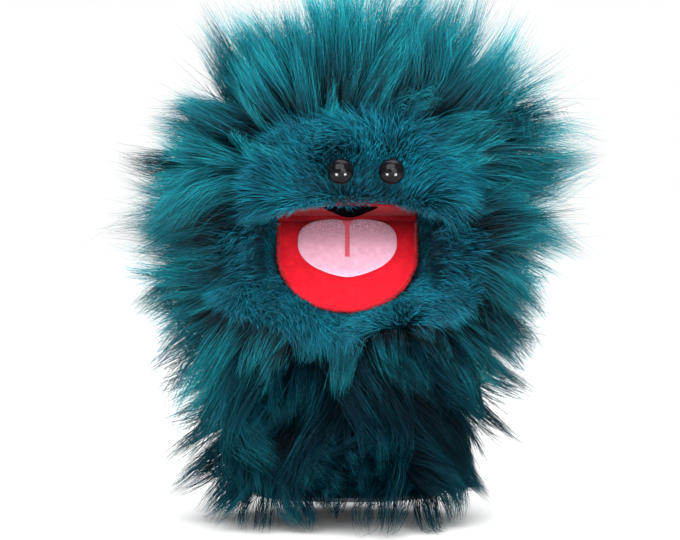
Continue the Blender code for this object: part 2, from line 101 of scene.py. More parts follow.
# %% The socket wrapper
class Wire:
    """An output socket that can be added, multiplied and so on."""

    def __init__(self, tree, socket):
        self.tree = tree
        self.socket = socket

    def node(self, kind, settings=None, output=0, **inputs):
        made = self.tree.nodes.new(kind)
        for key, value in (settings or {}).items():
            if key == "stops":
                fill_ramp(made.color_ramp, value)
            else:
                setattr(made, key, value)
        for key, value in inputs.items():
            name = int(key[1:]) if key[0] == "i" and key[1:].isdigit() else key.replace("_", " ")
            target = made.inputs[name]
            if isinstance(value, Wire):
                self.tree.links.new(value.socket, target)
            else:
                target.default_value = value
        return Wire(self.tree, made.outputs[output])

    def maths(self, operation, first, second=0.0, clamp=False):
        return self.node(
            "ShaderNodeMath", {"operation": operation, "use_clamp": clamp}, i0=first, i1=second)

    def __add__(self, other):
        return self.maths("ADD", self, other)

    __radd__ = __add__

    def __sub__(self, other):
        return self.maths("SUBTRACT", self, other)

    def __rsub__(self, other):
        return self.maths("SUBTRACT", other, self)

    def __mul__(self, other):
        return self.maths("MULTIPLY", self, other)

    __rmul__ = __mul__

    def __truediv__(self, other):
        return self.maths("DIVIDE", self, other)

    def __pow__(self, other):
        return self.maths("POWER", self, other)

    def __abs__(self):
        return self.maths("ABSOLUTE", self)

    def between(self, low, high):
        """0 below low, 1 above high, smooth between."""
        return self.node(
            "ShaderNodeMapRange", {"interpolation_type": "SMOOTHSTEP"},
            Value=self, From_Min=low, From_Max=high)

    def ramp(self, *stops):
        return self.node("ShaderNodeValToRGB", {"stops": stops}, Fac=self)

    def mix(self, first, second):
        """Colours: first where this is 0, second where it is 1."""
        return self.node(
            "ShaderNodeMix", {"data_type": "RGBA"}, output=2, i0=self, i6=first, i7=second)


def fill_ramp(ramp, stops):
    """Give a colour ramp its stops of (place, (r, g, b))."""
    while len(ramp.elements) < len(stops):
        ramp.elements.new(0.5)
    for element, (place, colour) in zip(ramp.elements, stops):
        element.position = place
        element.color = (*colour, 1.0)


def new_material(name, roughness=0.6, **constants):
    """A material, its start wire and its Principled shader."""
    made = bpy.data.materials.new(name)
    made.use_nodes = True
    tree = made.node_tree
    shader = tree.nodes["Principled BSDF"]
    shader.inputs["Roughness"].default_value = roughness
    for key, value in constants.items():
        shader.inputs[key.replace("_", " ")].default_value = value
    return made, Wire(tree, None), shader


def feed(shader, socket, wire):
    wire.tree.links.new(wire.socket, shader.inputs[socket])


def bump(shader, height, strength=0.3, distance=0.001):
    feed(shader, "Normal", height.node(
        "ShaderNodeBump", Strength=strength, Distance=distance, Height=height))


# %% [markdown]
# ## The fur's colour
# Each strand carries its own map: U is its tone, V runs from root to tip. Along V the root end is
# painted shade, for the little light that gets in, and the tips are lighter, partly painted light.
# The map is the same for all strands, so a baked picture of it holds every strand's colour.

# %% The fur materials
FUR_MAP = "OFBake"


def fur_material(name, root, middle, tip, roughness=0.48, gloss=0.07):
    made, start, shader = new_material(name, roughness)
    shader.inputs["Specular IOR Level"].default_value = gloss
    along = start.node("ShaderNodeUVMap", {"uv_map": FUR_MAP})
    shade = start.node("ShaderNodeSeparateXYZ", Vector=along)
    height = Wire(shade.tree, shade.socket.node.outputs[1])
    # Painted shade: the root part of each strand is near black. The lighter tips are partly painted
    # light.
    colour = height.ramp((0.0, root), (0.28, root), (0.62, middle), (1.0, tip))
    tone = shade.ramp(
        (0.0, (0.10, 0.13, 0.16)), (0.5, (0.80, 0.84, 0.86)), (1.0, (2.9, 2.15, 1.95)))
    feed(shader, "Base Color", start.node(
        "ShaderNodeMix", {"data_type": "RGBA", "blend_type": "MULTIPLY"}, output=2,
        i0=1.0, i6=colour, i7=tone))
    return made


long_fur = fur_material(
    "long_pile", (0.0002, 0.014, 0.022), (0.001, 0.100, 0.138), (0.012, 0.310, 0.370))
short_fur = fur_material(
    "trimmed_pile", (0.0004, 0.030, 0.048), (0.001, 0.110, 0.168), (0.004, 0.190, 0.262))
# Painted shade: the neck and sleeve wear a darker copy of the fur, for the head's shadow on them.
painted_shade_fur = fur_material(
    "sleeve_pile_painted_shade", (0.0002, 0.006, 0.011), (0.0006, 0.022, 0.036), (0.003, 0.070, 0.095),
    gloss=0.03)

# %% [markdown]
# ## How a strand is made
# A real fibre is a thin round hair that tapers to nothing. Here it is a closed three-sided spike
# along a path of a few points. The particle system could comb hair, but its hairs aren't a mesh,
# so the export would lose them. Arrays do the work instead: all strands of a piece at once.

# %% Strands from paths
ROOM_SHARE, ROOM_MARGIN = 0.03, 0.0085
CAD_SIZE = np.array(cad_high) - np.array(cad_low)
LIMIT_LOW = np.array(cad_low) - ROOM_SHARE * CAD_SIZE - ROOM_MARGIN
LIMIT_HIGH = np.array(cad_high) + ROOM_SHARE * CAD_SIZE + ROOM_MARGIN
FLOOR_LIFT = 0.006
SCATTER = 7919
FUR_TRIANGLES = []


def unit(vectors):
    return vectors / np.maximum(np.linalg.norm(vectors, axis=-1, keepdims=True), 1e-9)


def smooth(value, low, high):
    """0 below low, 1 above high, smooth between."""
    share = np.clip((value - low) / (high - low), 0, 1)
    return share * share * (3 - 2 * share)


def hold_inside(paths):
    """Shorten a strand that would leave the frame's room. Below, it bends along the floor."""
    root = paths[:, :1]
    reach = paths - root
    spare = FLOOR_LIFT * ((root[..., 0] * SCATTER) % 1)
    bottom = LIMIT_LOW[2] + 0.0006 + spare
    reach[..., 2] = np.maximum(reach[..., 2], np.minimum(bottom - root[..., 2], 0))
    room = np.where(reach > 0, LIMIT_HIGH - root, root - LIMIT_LOW)
    share = np.clip(room / np.maximum(np.abs(reach), 1e-9), 0.05, 1.0).min(axis=(1, 2))
    return root + reach * share[:, None, None]


def strands(name, paths, width, shade, material, rng):
    """One mesh of closed, tapering, three-sided strands."""
    paths = hold_inside(paths)
    count, points, _ = paths.shape
    rings = points - 1
    along = unit(np.diff(paths, axis=1))
    side = unit(np.cross(along[:, 0], rng.normal(size=(count, 3))))
    side = side[:, None, :] - (along * side[:, None, :]).sum(-1, keepdims=True) * along
    side = unit(side)
    other = np.cross(along, side)
    taper = 1 - (np.arange(rings) / rings) ** 1.6
    half = (width[:, None] * taper[None, :])[..., None]
    corners = []
    for k in range(3):
        turn = 2 * pi * k / 3
        corners.append(paths[:, :rings] + half * (cos(turn) * side + sin(turn) * other))
    body = np.stack(corners, axis=2).reshape(count, rings * 3, 3)
    verts = np.concatenate([body, paths[:, -1:]], axis=1)
    per = rings * 3 + 1

    quads, heights = [], []
    for ring in range(rings - 1):
        for k in range(3):
            a, b = ring * 3 + k, ring * 3 + (k + 1) % 3
            quads.append((a, b, b + 3, a + 3))
            heights.append((ring, ring, ring + 1, ring + 1))
    tips = [((rings - 1) * 3 + k, (rings - 1) * 3 + (k + 1) % 3, rings * 3) for k in range(3)]
    caps = [(2, 1, 0)]
    loops = np.array([v for face in quads + tips + caps for v in face])
    tip_heights = [rings - 1, rings - 1, rings] * 3
    level = np.array([h for face in heights for h in face] + tip_heights + [0, 0, 0]) / rings
    across = np.array([0, 1, 1, 0] * len(quads) + [0, 1, 0.5] * 3 + [0, 1, 0.5])
    sizes = np.array([4] * len(quads) + [3] * 4)
    starts = np.concatenate([[0], np.cumsum(sizes)[:-1]])

    mesh = bpy.data.meshes.new(name)
    mesh.vertices.add(count * per)
    mesh.vertices.foreach_set("co", verts.reshape(-1).astype(np.float32))
    total = len(loops)
    every = (loops[None, :] + np.arange(count)[:, None] * per).reshape(-1)
    mesh.loops.add(count * total)
    mesh.loops.foreach_set("vertex_index", every.astype(np.int32))
    mesh.polygons.add(count * len(sizes))
    first_loops = starts[None, :] + np.arange(count)[:, None] * total
    mesh.polygons.foreach_set("loop_start", first_loops.reshape(-1).astype(np.int32))
    mesh.polygons.foreach_set("use_smooth", np.ones(count * len(sizes), bool))
    mesh.update(calc_edges=True)
    uv = mesh.uv_layers.new(name=FUR_MAP)
    spread = np.empty((count, total, 2), np.float32)
    spread[..., 0] = np.clip(shade, 0.01, 0.99)[:, None] + 0.004 * across[None, :]
    spread[..., 1] = 0.01 + 0.98 * level[None, :]
    uv.data.foreach_set("uv", spread.reshape(-1))
    mesh.materials.append(material)
    made = bpy.data.objects.new(name, mesh)
    bpy.context.scene.collection.objects.link(made)
    triangles = count * (len(quads) * 2 + 4)
    FUR_TRIANGLES.append(triangles)
    print(f"{name}: {count} strands, {triangles} triangles")
    return made


# %% [markdown]
# ## How a lock is combed
# Long pile doesn't stand as single hairs. It clumps into locks, and the locks into pointed tufts.
# One guide path is grown for each lock: it leaves the cloth along the normal, is combed sideways,
# then hangs. Neighbouring guides are drawn together at their tips to make a tuft. Last, the lock's
# hairs start round the guide's root and draw in to its tip, with a few strays.

# %% Guides, tufts and locks
def swell(points, size, rng):
    """A smooth random value over space, mostly between -1 and 1."""
    total = np.zeros(len(points))
    for _ in range(4):
        way = unit(rng.normal(size=3)) * 2 * pi / size
        total += np.sin(points @ way + rng.uniform(0, 2 * pi))
    return total / 2


def drift(points, size, rng):
    """A smooth random direction over space."""
    return np.stack([swell(points, size, rng) for _ in range(3)], axis=1)


def spaced_roots(points, spacing):
    """Which points to keep so that none is nearer than the spacing to another."""
    kept = np.empty((0, 3))
    index = []
    for i, point in enumerate(points):
        if len(index) and (((kept - point) ** 2).sum(1) < spacing ** 2).any():
            continue
        kept = np.vstack([kept, point])
        index.append(i)
    return np.array(index)


def guides(roots, normals, comb, length, lift, droop, rng, curl=0.22, steps=4):
    """Grow one path from each root."""
    heading = normals * np.broadcast_to(lift, len(roots))[:, None] + comb
    heading += curl * (1.1 * drift(roots, 0.06, rng) + 0.45 * rng.normal(size=roots.shape))
    heading = unit(heading)
    bend = curl * (1.6 * drift(roots, 0.045, rng) + 0.6 * rng.normal(size=roots.shape))
    fall = np.array([0, 0, -1.0]) * np.broadcast_to(droop, len(roots))[:, None]
    paths = [roots]
    for step in range(steps):
        share = (step + 0.5) / steps
        paths.append(paths[-1] + unit(heading + (bend + fall) * share) * (length / steps)[:, None])
    return np.stack(paths, axis=1)


def gather(paths, spacing, draw, rng):
    """Draw neighbouring guides together at their tips. Also says which tuft each is in."""
    order = rng.permutation(len(paths))
    roots = paths[:, 0]
    centres = order[spaced_roots(roots[order], spacing)]
    gap = ((roots[:, None] - roots[centres][None]) ** 2).sum(-1)
    tuft = gap.argmin(1)
    share = np.linspace(0, 1, paths.shape[1])[None, :, None]
    pull = np.clip(draw * rng.uniform(0.75, 1.4, len(centres)), 0, 0.94)[tuft][:, None, None]
    return paths + (paths[centres[tuft]] - paths) * pull * share ** 1.3, tuft


def locks(paths, normals, per_lock, radius, rng, clump=0.82, stray=0.07):
    """Fill each guide with hairs that draw in to its tip."""
    count, points, _ = paths.shape
    side = unit(np.cross(normals, rng.normal(size=normals.shape)))
    other = np.cross(normals, side)
    turn = rng.uniform(0, 2 * pi, (count, per_lock))
    out = radius * np.sqrt(rng.uniform(0, 1, (count, per_lock)))
    offset = (
        (np.cos(turn) * out)[..., None] * side[:, None]
        + (np.sin(turn) * out)[..., None] * other[:, None])
    share = (np.arange(points) / (points - 1))[None, None, :, None]
    loose = rng.uniform(size=(count, per_lock, 1, 1)) < stray
    draw = np.where(loose, 0.1, clump * rng.uniform(0.75, 1.15, (count, per_lock, 1, 1)))
    stretch = rng.uniform(0.62, 1.08, (count, per_lock, 1, 1))
    reach = paths[:, None, :, :] - paths[:, None, :1, :]
    length = np.linalg.norm(reach[:, :, -1:], axis=-1, keepdims=True)
    wander = rng.normal(size=(count, per_lock, 1, 3)) * length * np.where(loose, 0.17, 0.04)
    hairs = (
        paths[:, None, :1, :] + offset[:, :, None, :] * (1 - draw * share ** 0.8)
        + reach * stretch + wander * share ** 1.5)
    return hairs.reshape(-1, points, 3)


HAIR_HALF_WIDTH = 0.00021


def pelt(parts, guide_paths, normals, rng, per_lock, radius, tuft=0.017, draw=0.62, tone=0.5):
    """Turn guides into named pieces of long fur. Each part is (name, which guides, material)."""
    paths, member = gather(guide_paths, tuft, draw, rng)
    roots = paths[:, 0]
    lock_tone = (
        tone + 0.16 * rng.normal(size=member.max() + 1)[member] + 0.10 * swell(roots, 0.05, rng)
        + 0.12 * rng.normal(size=len(roots)))
    pieces = {}
    for name, chosen, material in parts:
        hairs = locks(paths[chosen], normals[chosen], per_lock, radius, rng)
        shade = lock_tone[chosen][:, None] + rng.normal(0, 0.18, (int(chosen.sum()), per_lock))
        width = HAIR_HALF_WIDTH * rng.uniform(0.7, 1.3, len(hairs))
        pieces[name] = strands(name, hairs, width, shade.reshape(-1), material, rng)
    return pieces


TRIMMED_HALF_WIDTH = 0.00024


def plush(name, roots, normals, comb, length, lift, rng, curl=0.4, tone=0.47):
    """One named piece of trimmed pile: single straight strands, dense and a little mussed."""
    paths = guides(roots, normals, comb, length, lift, 0.15, rng, curl=curl, steps=2)
    shade = tone + 0.13 * swell(roots, 0.012, rng) + 0.07 * swell(roots, 0.04, rng)
    shade += rng.normal(0, 0.16, len(roots))
    width = TRIMMED_HALF_WIDTH * rng.uniform(0.7, 1.3, len(roots))
    piece = strands(name, paths, width, shade, short_fur, rng)
    return piece


# %% [markdown]
# ## Where hair grows on the head
# Under the pile the head is a rounded ball of cloth, the same as the stuffing's solid. Roots are
# spread on it along a spiral, which is even without being a grid. Round the eyes and over the lip
# the pile is trimmed short, and past that it grows long in all directions from the face.

# %% The head's roots
stuff_low, stuff_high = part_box("head_stuffing")
EYES = [
    (Vector(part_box(node)[0]) + Vector(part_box(node)[1])) / 2 for node in ("eye_left", "eye_right")]
FACE_X = (EYES[0].x + EYES[1].x) / 2
FACE_Z = CREASE.z + 0.012
skull_half = (np.array(stuff_high) - np.array(stuff_low)) / 2
SKULL = np.array([0.0, (stuff_low[1] + stuff_high[1]) / 2, CREASE.z + 0.020])
SKULL_RADII = np.array([skull_half[0], skull_half[1], stuff_high[2] - SKULL[2]])
GOLDEN = pi * (3 - 5 ** 0.5)
print("skull", SKULL.round(4), SKULL_RADII.round(4))


def above_plate(points, tilt, gap=0.0):
    """How far points stand over a plane that slopes up from the crease."""
    slope = radians(tilt)
    rise = points[:, 2] - CREASE.z
    run = -(points[:, 1] - CREASE.y)
    return rise * cos(slope) - run * sin(slope) - gap


def spiral_roots(count, centre, radii, rng, jitter=0.35):
    """Even points on an ellipsoid, with its normals."""
    index = np.arange(count) + 0.5
    level = 1 - 2 * index / count
    turn = index * GOLDEN
    flat = np.sqrt(1 - level ** 2)
    ball = np.stack([flat * np.cos(turn), level, flat * np.sin(turn)], axis=1)
    ball = unit(ball + rng.normal(size=ball.shape) * jitter * 2 / np.sqrt(count))
    return centre + ball * radii, unit(ball / radii)


TRIM_HALF_WIDTH, TRIM_UP, TRIM_DOWN = 0.047, 0.029, 0.040


def face_distance(points):
    """0 in the middle of the face, 1 at the edge of the trimmed pile, more outside it."""
    across = (points[:, 0] - FACE_X * 0.7) / TRIM_HALF_WIDTH
    up = points[:, 2] - (FACE_Z + 0.004)
    up = np.where(up > 0, up / TRIM_UP, up / TRIM_DOWN)
    away = np.sqrt(across ** 2 + up ** 2)
    return np.where(points[:, 1] < 0.0, away, away + smooth(points[:, 1], 0.0, 0.02))


def outward(points, lean=0.0):
    """Away from the middle of the face, seen from the front."""
    away = np.stack([
        points[:, 0] - FACE_X * 0.4, np.zeros(len(points)), points[:, 2] - FACE_Z], axis=1)
    away = unit(away)
    away[:, 0] += lean * np.clip(away[:, 2], 0, 1)
    return away


# %% [markdown]
# ## The head's long fur
# The crown's locks stand up and out like a dandelion, and lean a little to one side. At the back
# they hang. The fur is cut into named pieces by place, so that no mesh grows too large.

# %% Crown, temples and back of the head
rng = np.random.default_rng(7)
roots, normals = spiral_roots(2500, SKULL, SKULL_RADII * 0.995, rng)
over_lip = above_plate(roots, UPPER_TILT, 0.0015)
over_back = roots[:, 2] - (CREASE.z + np.clip(roots[:, 1], 0, 1) * 0.18)
away = face_distance(roots)
keep = (over_lip > 0) & (over_back > 0.002) & (away > 0.92)
roots, normals, away = roots[keep], normals[keep], away[keep]
at_back = smooth(roots[:, 1], -0.01, 0.05)
comb = outward(roots, lean=0.24) * (1.1 - 0.55 * at_back)[:, None]
comb[:, 2] -= 0.35 * at_back
length = 0.017 + 0.062 * smooth(away, 0.9, 1.5) * (1 - 0.25 * at_back)
seen_from = np.degrees(np.arctan2(roots[:, 2] - FACE_Z, roots[:, 0] - FACE_X))
seen_from = (seen_from + 90) % 360 - 90
ANGLES_SEEN = [-90, 0, 30, 60, 90, 120, 142, 172, 195, 270]
LENGTH_SHARES = [1.0, 1.04, 0.97, 1.04, 1.04, 0.92, 0.66, 0.74, 1.02, 1.0]
uneven = np.interp(seen_from, ANGLES_SEEN, LENGTH_SHARES)
length *= np.where(rng.uniform(size=len(roots)) < 0.12, 0.5 + 0.5 * uneven, uneven)
wavy = 1 + 0.10 * swell(roots, 0.05, rng) + 0.12 * swell(roots, 0.022, rng)
length *= wavy * rng.uniform(0.82, 1.1, len(roots))
lift = 0.34 + 0.45 * at_back
droop = 0.22 + 0.55 * at_back - 0.25 * smooth(roots[:, 2], 0.20, 0.24)
head_paths = guides(roots, normals, comb, length, lift, droop, rng, curl=0.30)
print("head locks", len(roots))

front, high, left = roots[:, 1] < 0, roots[:, 2] > 0.212, roots[:, 0] < 0
for name, chosen, per_lock in (
        ("crown_fur_front_left", front & high & left, 27),
        ("crown_fur_front_right", front & high & ~left, 27),
        ("temple_fur_left", front & ~high & left, 30),
        ("temple_fur_right", front & ~high & ~left, 30),
        ("nape_fur_left", ~front & left, 12),
        ("nape_fur_right", ~front & ~left, 12)):
    made = pelt(
        [(name, np.ones(int(chosen.sum()), bool), long_fur)], head_paths[chosen], normals[chosen],
        rng, per_lock, 0.0048)
    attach(made[name], "upper_head")
    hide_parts("head_fur_back" if name.startswith("nape") else "head_fur_front")

# %% [markdown]
# ## The trimmed face
# The same pile, clipped to about a centimetre: short straight strands, dense, and laid outward.

# %% Face pile
roots, normals = spiral_roots(84000, SKULL, SKULL_RADII, rng, jitter=0.8)
away = face_distance(roots)
from_eye = np.min([np.hypot(roots[:, 0] - e.x, roots[:, 2] - e.z) for e in EYES], axis=0)
keep = (
    (above_plate(roots, UPPER_TILT, 0.0005) > 0) & (away < 1.25) & (roots[:, 1] < 0)
    & (from_eye > 0.0058))
roots, normals, away, from_eye = roots[keep], normals[keep], away[keep], from_eye[keep]
comb = roots - np.array([FACE_X * 0.6, 0, CREASE.z - 0.012])
comb[:, 1] = 0
comb = unit(comb) + 0.22 * drift(roots, 0.03, rng)
over_lip = above_plate(roots, UPPER_TILT)
lip_side = smooth(np.abs(roots[:, 0] - 0.006), 0.015, 0.045)
at_lip = smooth(0.009 - over_lip, 0.0, 0.008)
comb *= (1 - 0.75 * at_lip)[:, None]
comb[:, 2] -= (0.15 + 0.8 * lip_side) * at_lip
length = (0.0100 + 0.015 * smooth(away, 0.60, 1.15)) * rng.uniform(0.75, 1.15, len(roots))
length *= 0.50 + 0.50 * smooth(from_eye, 0.007, 0.013)
length *= 1 - (0.40 - 0.45 * lip_side) * at_lip
face = plush("face_pile", roots, normals, comb, length, 0.62 + 0.30 * at_lip, rng)
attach(face, "upper_head")
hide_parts("head_fur_front")

# %% [markdown]
# ## Two slanted plates, two frames
# The mouth is two flat plates that meet at the crease. Work on a slanted plate is easiest in its
# own frame: across it, forward along it, and off its face. One function turns that into the room.

# %% The plate frames
ACROSS = np.array([1.0, 0, 0])


def plate_axes(tilt):
    """Forward along a plate, and its normal, for a tilt below level."""
    slope = radians(tilt)
    return np.array([0, -cos(slope), -sin(slope)]), np.array([0, -sin(slope), cos(slope)])


def on_plate(tilt, across, forward, off):
    """World points from a plate's own coordinates."""
    ahead, normal = plate_axes(tilt)
    across, forward, off = np.broadcast_arrays(
        np.asarray(across, float), np.asarray(forward, float), np.asarray(off, float))
    return (
        np.array(CREASE) + across[..., None] * ACROSS + forward[..., None] * ahead
        + off[..., None] * normal)


def in_plate(tilt, points):
    """A plate's own coordinates from world points."""
    ahead, normal = plate_axes(tilt)
    local = points - np.array(CREASE)
    return local[:, 0], local @ ahead, local @ normal


MOUTH_STRAIGHT = MOUTH_DEPTH - MOUTH_HALF


def outside_mouth(across, forward):
    """How far a point of the plate lies outside the mouth plate's outline."""
    past = np.maximum(forward - MOUTH_STRAIGHT, 0)
    return np.where(
        forward > MOUTH_STRAIGHT, np.hypot(across, past) - MOUTH_HALF, np.abs(across) - MOUTH_HALF)


MOUTH_MIDDLE_Z = CREASE.z - 0.022


def from_mouth(points):
    """Away from the middle of the open mouth, seen from the front."""
    return unit(np.stack([
        points[:, 0], np.zeros(len(points)), points[:, 2] - MOUTH_MIDDLE_Z], axis=1))


# %% [markdown]
# ## The lower jaw
# The jaw is a shallow bowl of cloth, cut flat by the plane of the mouth plate. The flat rim round
# the plate is trimmed like the face, and rolls up a little. Past the rim the pile is long: at the
# sides it sweeps out, and under the chin it hangs as a thin beard.

# %% The beard and the jaw's side fur
JAW_MIDDLE = 0.034
JAW_RADII = np.array([0.080, 0.050, 0.040])
ahead, off_plate = plate_axes(LOWER_TILT)


def jaw_bowl(count, rng):
    """Even roots on the underside of the jaw, and their normals."""
    local, normal = spiral_roots(count, np.zeros(3), JAW_RADII, rng)
    keep = local[:, 2] < -0.001
    local, normal = local[keep], normal[keep]
    points = on_plate(LOWER_TILT, local[:, 0], JAW_MIDDLE + local[:, 1], local[:, 2])
    return points, normal[:, :1] * ACROSS + normal[:, 1:2] * ahead + normal[:, 2:] * off_plate


roots, normals = jaw_bowl(1300, rng)
across, forward, off = in_plate(LOWER_TILT, roots)
side = smooth(np.abs(across), 0.015, 0.055)
under = smooth(-off, 0.004, 0.030)
comb = from_mouth(roots) * 0.95
comb[:, 0] += 0.35 * np.sign(across) * side
comb[:, 2] -= 0.20 + 0.75 * under * (1 - side)
length = 0.015 + (0.020 + 0.038 * side) * smooth(-off, 0.001, 0.012)
length *= rng.uniform(0.75, 1.12, len(roots)) * (1 + 0.12 * swell(roots, 0.04, rng))
length *= 1 + 0.22 * smooth(-across, 0.02, 0.05) + 0.06 * smooth(across, 0.02, 0.05)
jaw_paths = guides(roots, normals, comb, length, 0.22 + 0.20 * side, 0.85 - 0.45 * side, rng)
parts = [
    ("beard_fur", np.abs(across) < 0.030, long_fur),
    ("jaw_fur_left", across <= -0.030, long_fur),
    ("jaw_fur_right", across >= 0.030, long_fur)]
for piece in pelt(parts, jaw_paths, normals, rng, 24, 0.0046).values():
    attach(piece, "lower_jaw")
    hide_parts("jaw_fur")

# %% The trimmed rims of both lips
def rim_roots(tilt, middle, radii, count, rng, gap=0.0006):
    """Random roots on the flat rim between a mouth plate and the edge of its cloth."""
    turn = rng.uniform(0, 2 * pi, count)
    out = np.sqrt(rng.uniform(0, 1, count))
    across = radii[0] * out * np.cos(turn)
    forward = middle + radii[1] * out * np.sin(turn)
    keep = (outside_mouth(across, forward) > gap) & (forward > 0.003)
    across, forward, out, turn = across[keep], forward[keep], out[keep], turn[keep]
    away = unit(np.stack([np.cos(turn) / radii[0], np.sin(turn) / radii[1]], axis=1))
    along, _ = plate_axes(tilt)
    return across, forward, away[:, :1] * ACROSS + away[:, 1:] * along, out


across, forward, outwards, out = rim_roots(LOWER_TILT, JAW_MIDDLE, JAW_RADII, 36000, rng)
beyond = outside_mouth(across, forward)
roll = 0.0055 * (1 - np.exp(-beyond / 0.005)) * (1 - smooth(out, 0.80, 1.0))
roots = on_plate(LOWER_TILT, across, forward, roll)
length = (0.0085 + 0.014 * smooth(out, 0.72, 1.0)) * rng.uniform(0.75, 1.15, len(roots))
upright = np.broadcast_to(off_plate, roots.shape)
lift = 0.95 - 0.55 * smooth(out, 0.7, 1.0)
lower_lip = plush("lower_lip_pile", roots, upright, outwards * 0.85, length, lift, rng)
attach(lower_lip, "lower_jaw")
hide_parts("jaw_fur")

_, upper_normal = plate_axes(-UPPER_TILT)
across, forward, outwards, out = rim_roots(-UPPER_TILT, -SKULL[1], SKULL_RADII[:2], 33000, rng)
roots = on_plate(-UPPER_TILT, across, forward, 0.001 + 0.0058 * rng.uniform(0, 1, len(across)))
side = np.abs(across - 0.006)
length = 0.0065 + 0.012 * smooth(side, 0.030, 0.075)
length = length * rng.uniform(0.8, 1.15, len(roots))
downward = np.broadcast_to(-upper_normal, roots.shape)
lift = 0.10 + 1.2 * smooth(side, 0.014, 0.046)
upper_lip = plush(
    "upper_lip_pile", roots, downward, outwards, length, lift, rng, curl=0.3, tone=0.42)
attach(upper_lip, "upper_head")
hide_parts("head_fur_front")

# %% [markdown]
# ## Cheeks
# Beside the mouth the head's cloth folds into the jaw's. Its fur grows in that fold: long locks
# and short pile. Neither piece is hung on a body.

# %% Cheek fur in the fold between head and jaw
def cheek(sign, rng):
    """Roots in the fold beside the mouth, which face sideways."""
    number = 1500
    turn = np.radians(rng.uniform(-LOWER_TILT, UPPER_TILT, number))
    reach = np.sqrt(rng.uniform(0.008 ** 2, 0.050 ** 2, number))
    across = sign * rng.uniform(0.060, 0.078, number)
    points = np.stack([across, -reach * np.cos(turn), CREASE.z + reach * np.sin(turn)], axis=1)
    chosen = spaced_roots(points, 0.0052)
    points = points[chosen]
    return points, np.broadcast_to(sign * ACROSS, points.shape)


for label, sign in (("left", -1), ("right", 1)):
    roots, normals = cheek(sign, rng)
    comb = from_mouth(roots) * 0.9
    comb[:, 1] -= 0.15
    length = 0.062 * rng.uniform(0.75, 1.12, len(roots))
    paths = guides(roots, normals, comb, length, 0.5, 0.40, rng)
    name = "cheek_fur_" + label
    whole = [(name, np.ones(len(roots), bool), long_fur)]
    piece = pelt(whole, paths, normals, rng, 26, 0.0046)[name]
    number = 2600
    turn = np.radians(rng.uniform(8, LOWER_TILT + 6, number))
    reach = rng.uniform(0.026, 0.052, number)
    across = sign * rng.uniform(0.049, 0.078, number)
    bulge = 0.010 * smooth(0.078 - np.abs(across), 0.0, 0.03)
    roots = np.stack([
        across, -(reach + bulge) * np.cos(turn), CREASE.z - (reach + bulge) * np.sin(turn)], axis=1)
    normals = unit(np.stack([0.35 * sign + 0 * turn, -np.cos(turn), -0.2 * np.sin(turn)], axis=1))
    comb = from_mouth(roots) * 0.9
    length = rng.uniform(0.009, 0.016, number)
    pile = plush("cheek_pile_" + label, roots, normals, comb, length, 0.8, rng)
    for made in (piece, pile):
        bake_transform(made)
        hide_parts("jaw_fur")

# %% [markdown]
# ## Stuffed shapes under the fur
# Fur cloth has a knitted backing, and the head and jaw are that cloth stuffed with fibre. They
# close the view between the hairs. Each starts as a ball that is cut flat at its mouth plate and
# opened for the hand, and then the cloth solver blows it up a little against its own seams.

# %% Backing cloth
backing, start, shader = new_material("fur_backing", 0.95, Specular_IOR_Level=0.0)
coords = start.node("ShaderNodeTexCoord", output=3)
knit = start.node("ShaderNodeTexNoise", Vector=coords, Scale=900.0, Detail=3.0)
feed(shader, "Base Color", knit.ramp((0.3, (0.0004, 0.008, 0.013)), (0.7, (0.001, 0.020, 0.030))))
bump(shader, knit, 0.6, 0.0006)


def deselect():
    bpy.ops.object.select_all(action="DESELECT")


def pick(piece):
    """Select one piece and make it active."""
    deselect()
    piece.select_set(True)
    bpy.context.view_layer.objects.active = piece


def settle(piece, name, material):
    """Put a new piece's size, turn and place into its mesh, and give it a name and a finish."""
    pick(piece)
    bpy.ops.object.transform_apply(location=True, rotation=True, scale=True)
    piece.name = name
    piece.data.name = name
    piece.data.materials.clear()
    piece.data.materials.append(material)
    return piece


def ball(name, centre, radii, material, segments=64, rings=32):
    """A smooth ball at a place, with its size in its mesh."""
    deselect()
    bpy.ops.mesh.primitive_uv_sphere_add(segments=segments, ring_count=rings, location=centre)
    made = bpy.context.object
    made.scale = radii
    bpy.ops.object.shade_smooth()
    return settle(made, name, material)


def slice_off(piece, point, normal, fill=True):
    """Cut away what lies on the far side of a plane, and close the hole."""
    pick(piece)
    bpy.ops.object.mode_set(mode="EDIT")
    bpy.ops.mesh.select_all(action="SELECT")
    bpy.ops.mesh.bisect(plane_co=point, plane_no=normal, clear_outer=True, use_fill=fill)
    bpy.ops.object.mode_set(mode="OBJECT")


def hollow(piece, low, high):
    """Cut a box out of a piece, for a hand to go in."""
    deselect()
    low, high = Vector(low), Vector(high)
    bpy.ops.mesh.primitive_cube_add(size=1.0, location=(low + high) / 2)
    cutter = bpy.context.object
    cutter.scale = high - low
    bpy.ops.object.transform_apply(location=True, rotation=True, scale=True)
    pick(piece)
    change = piece.modifiers.new("opening", "BOOLEAN")
    change.object = cutter
    change.solver = "EXACT"
    bpy.ops.object.modifier_apply(modifier=change.name)
    bpy.data.objects.remove(cutter)


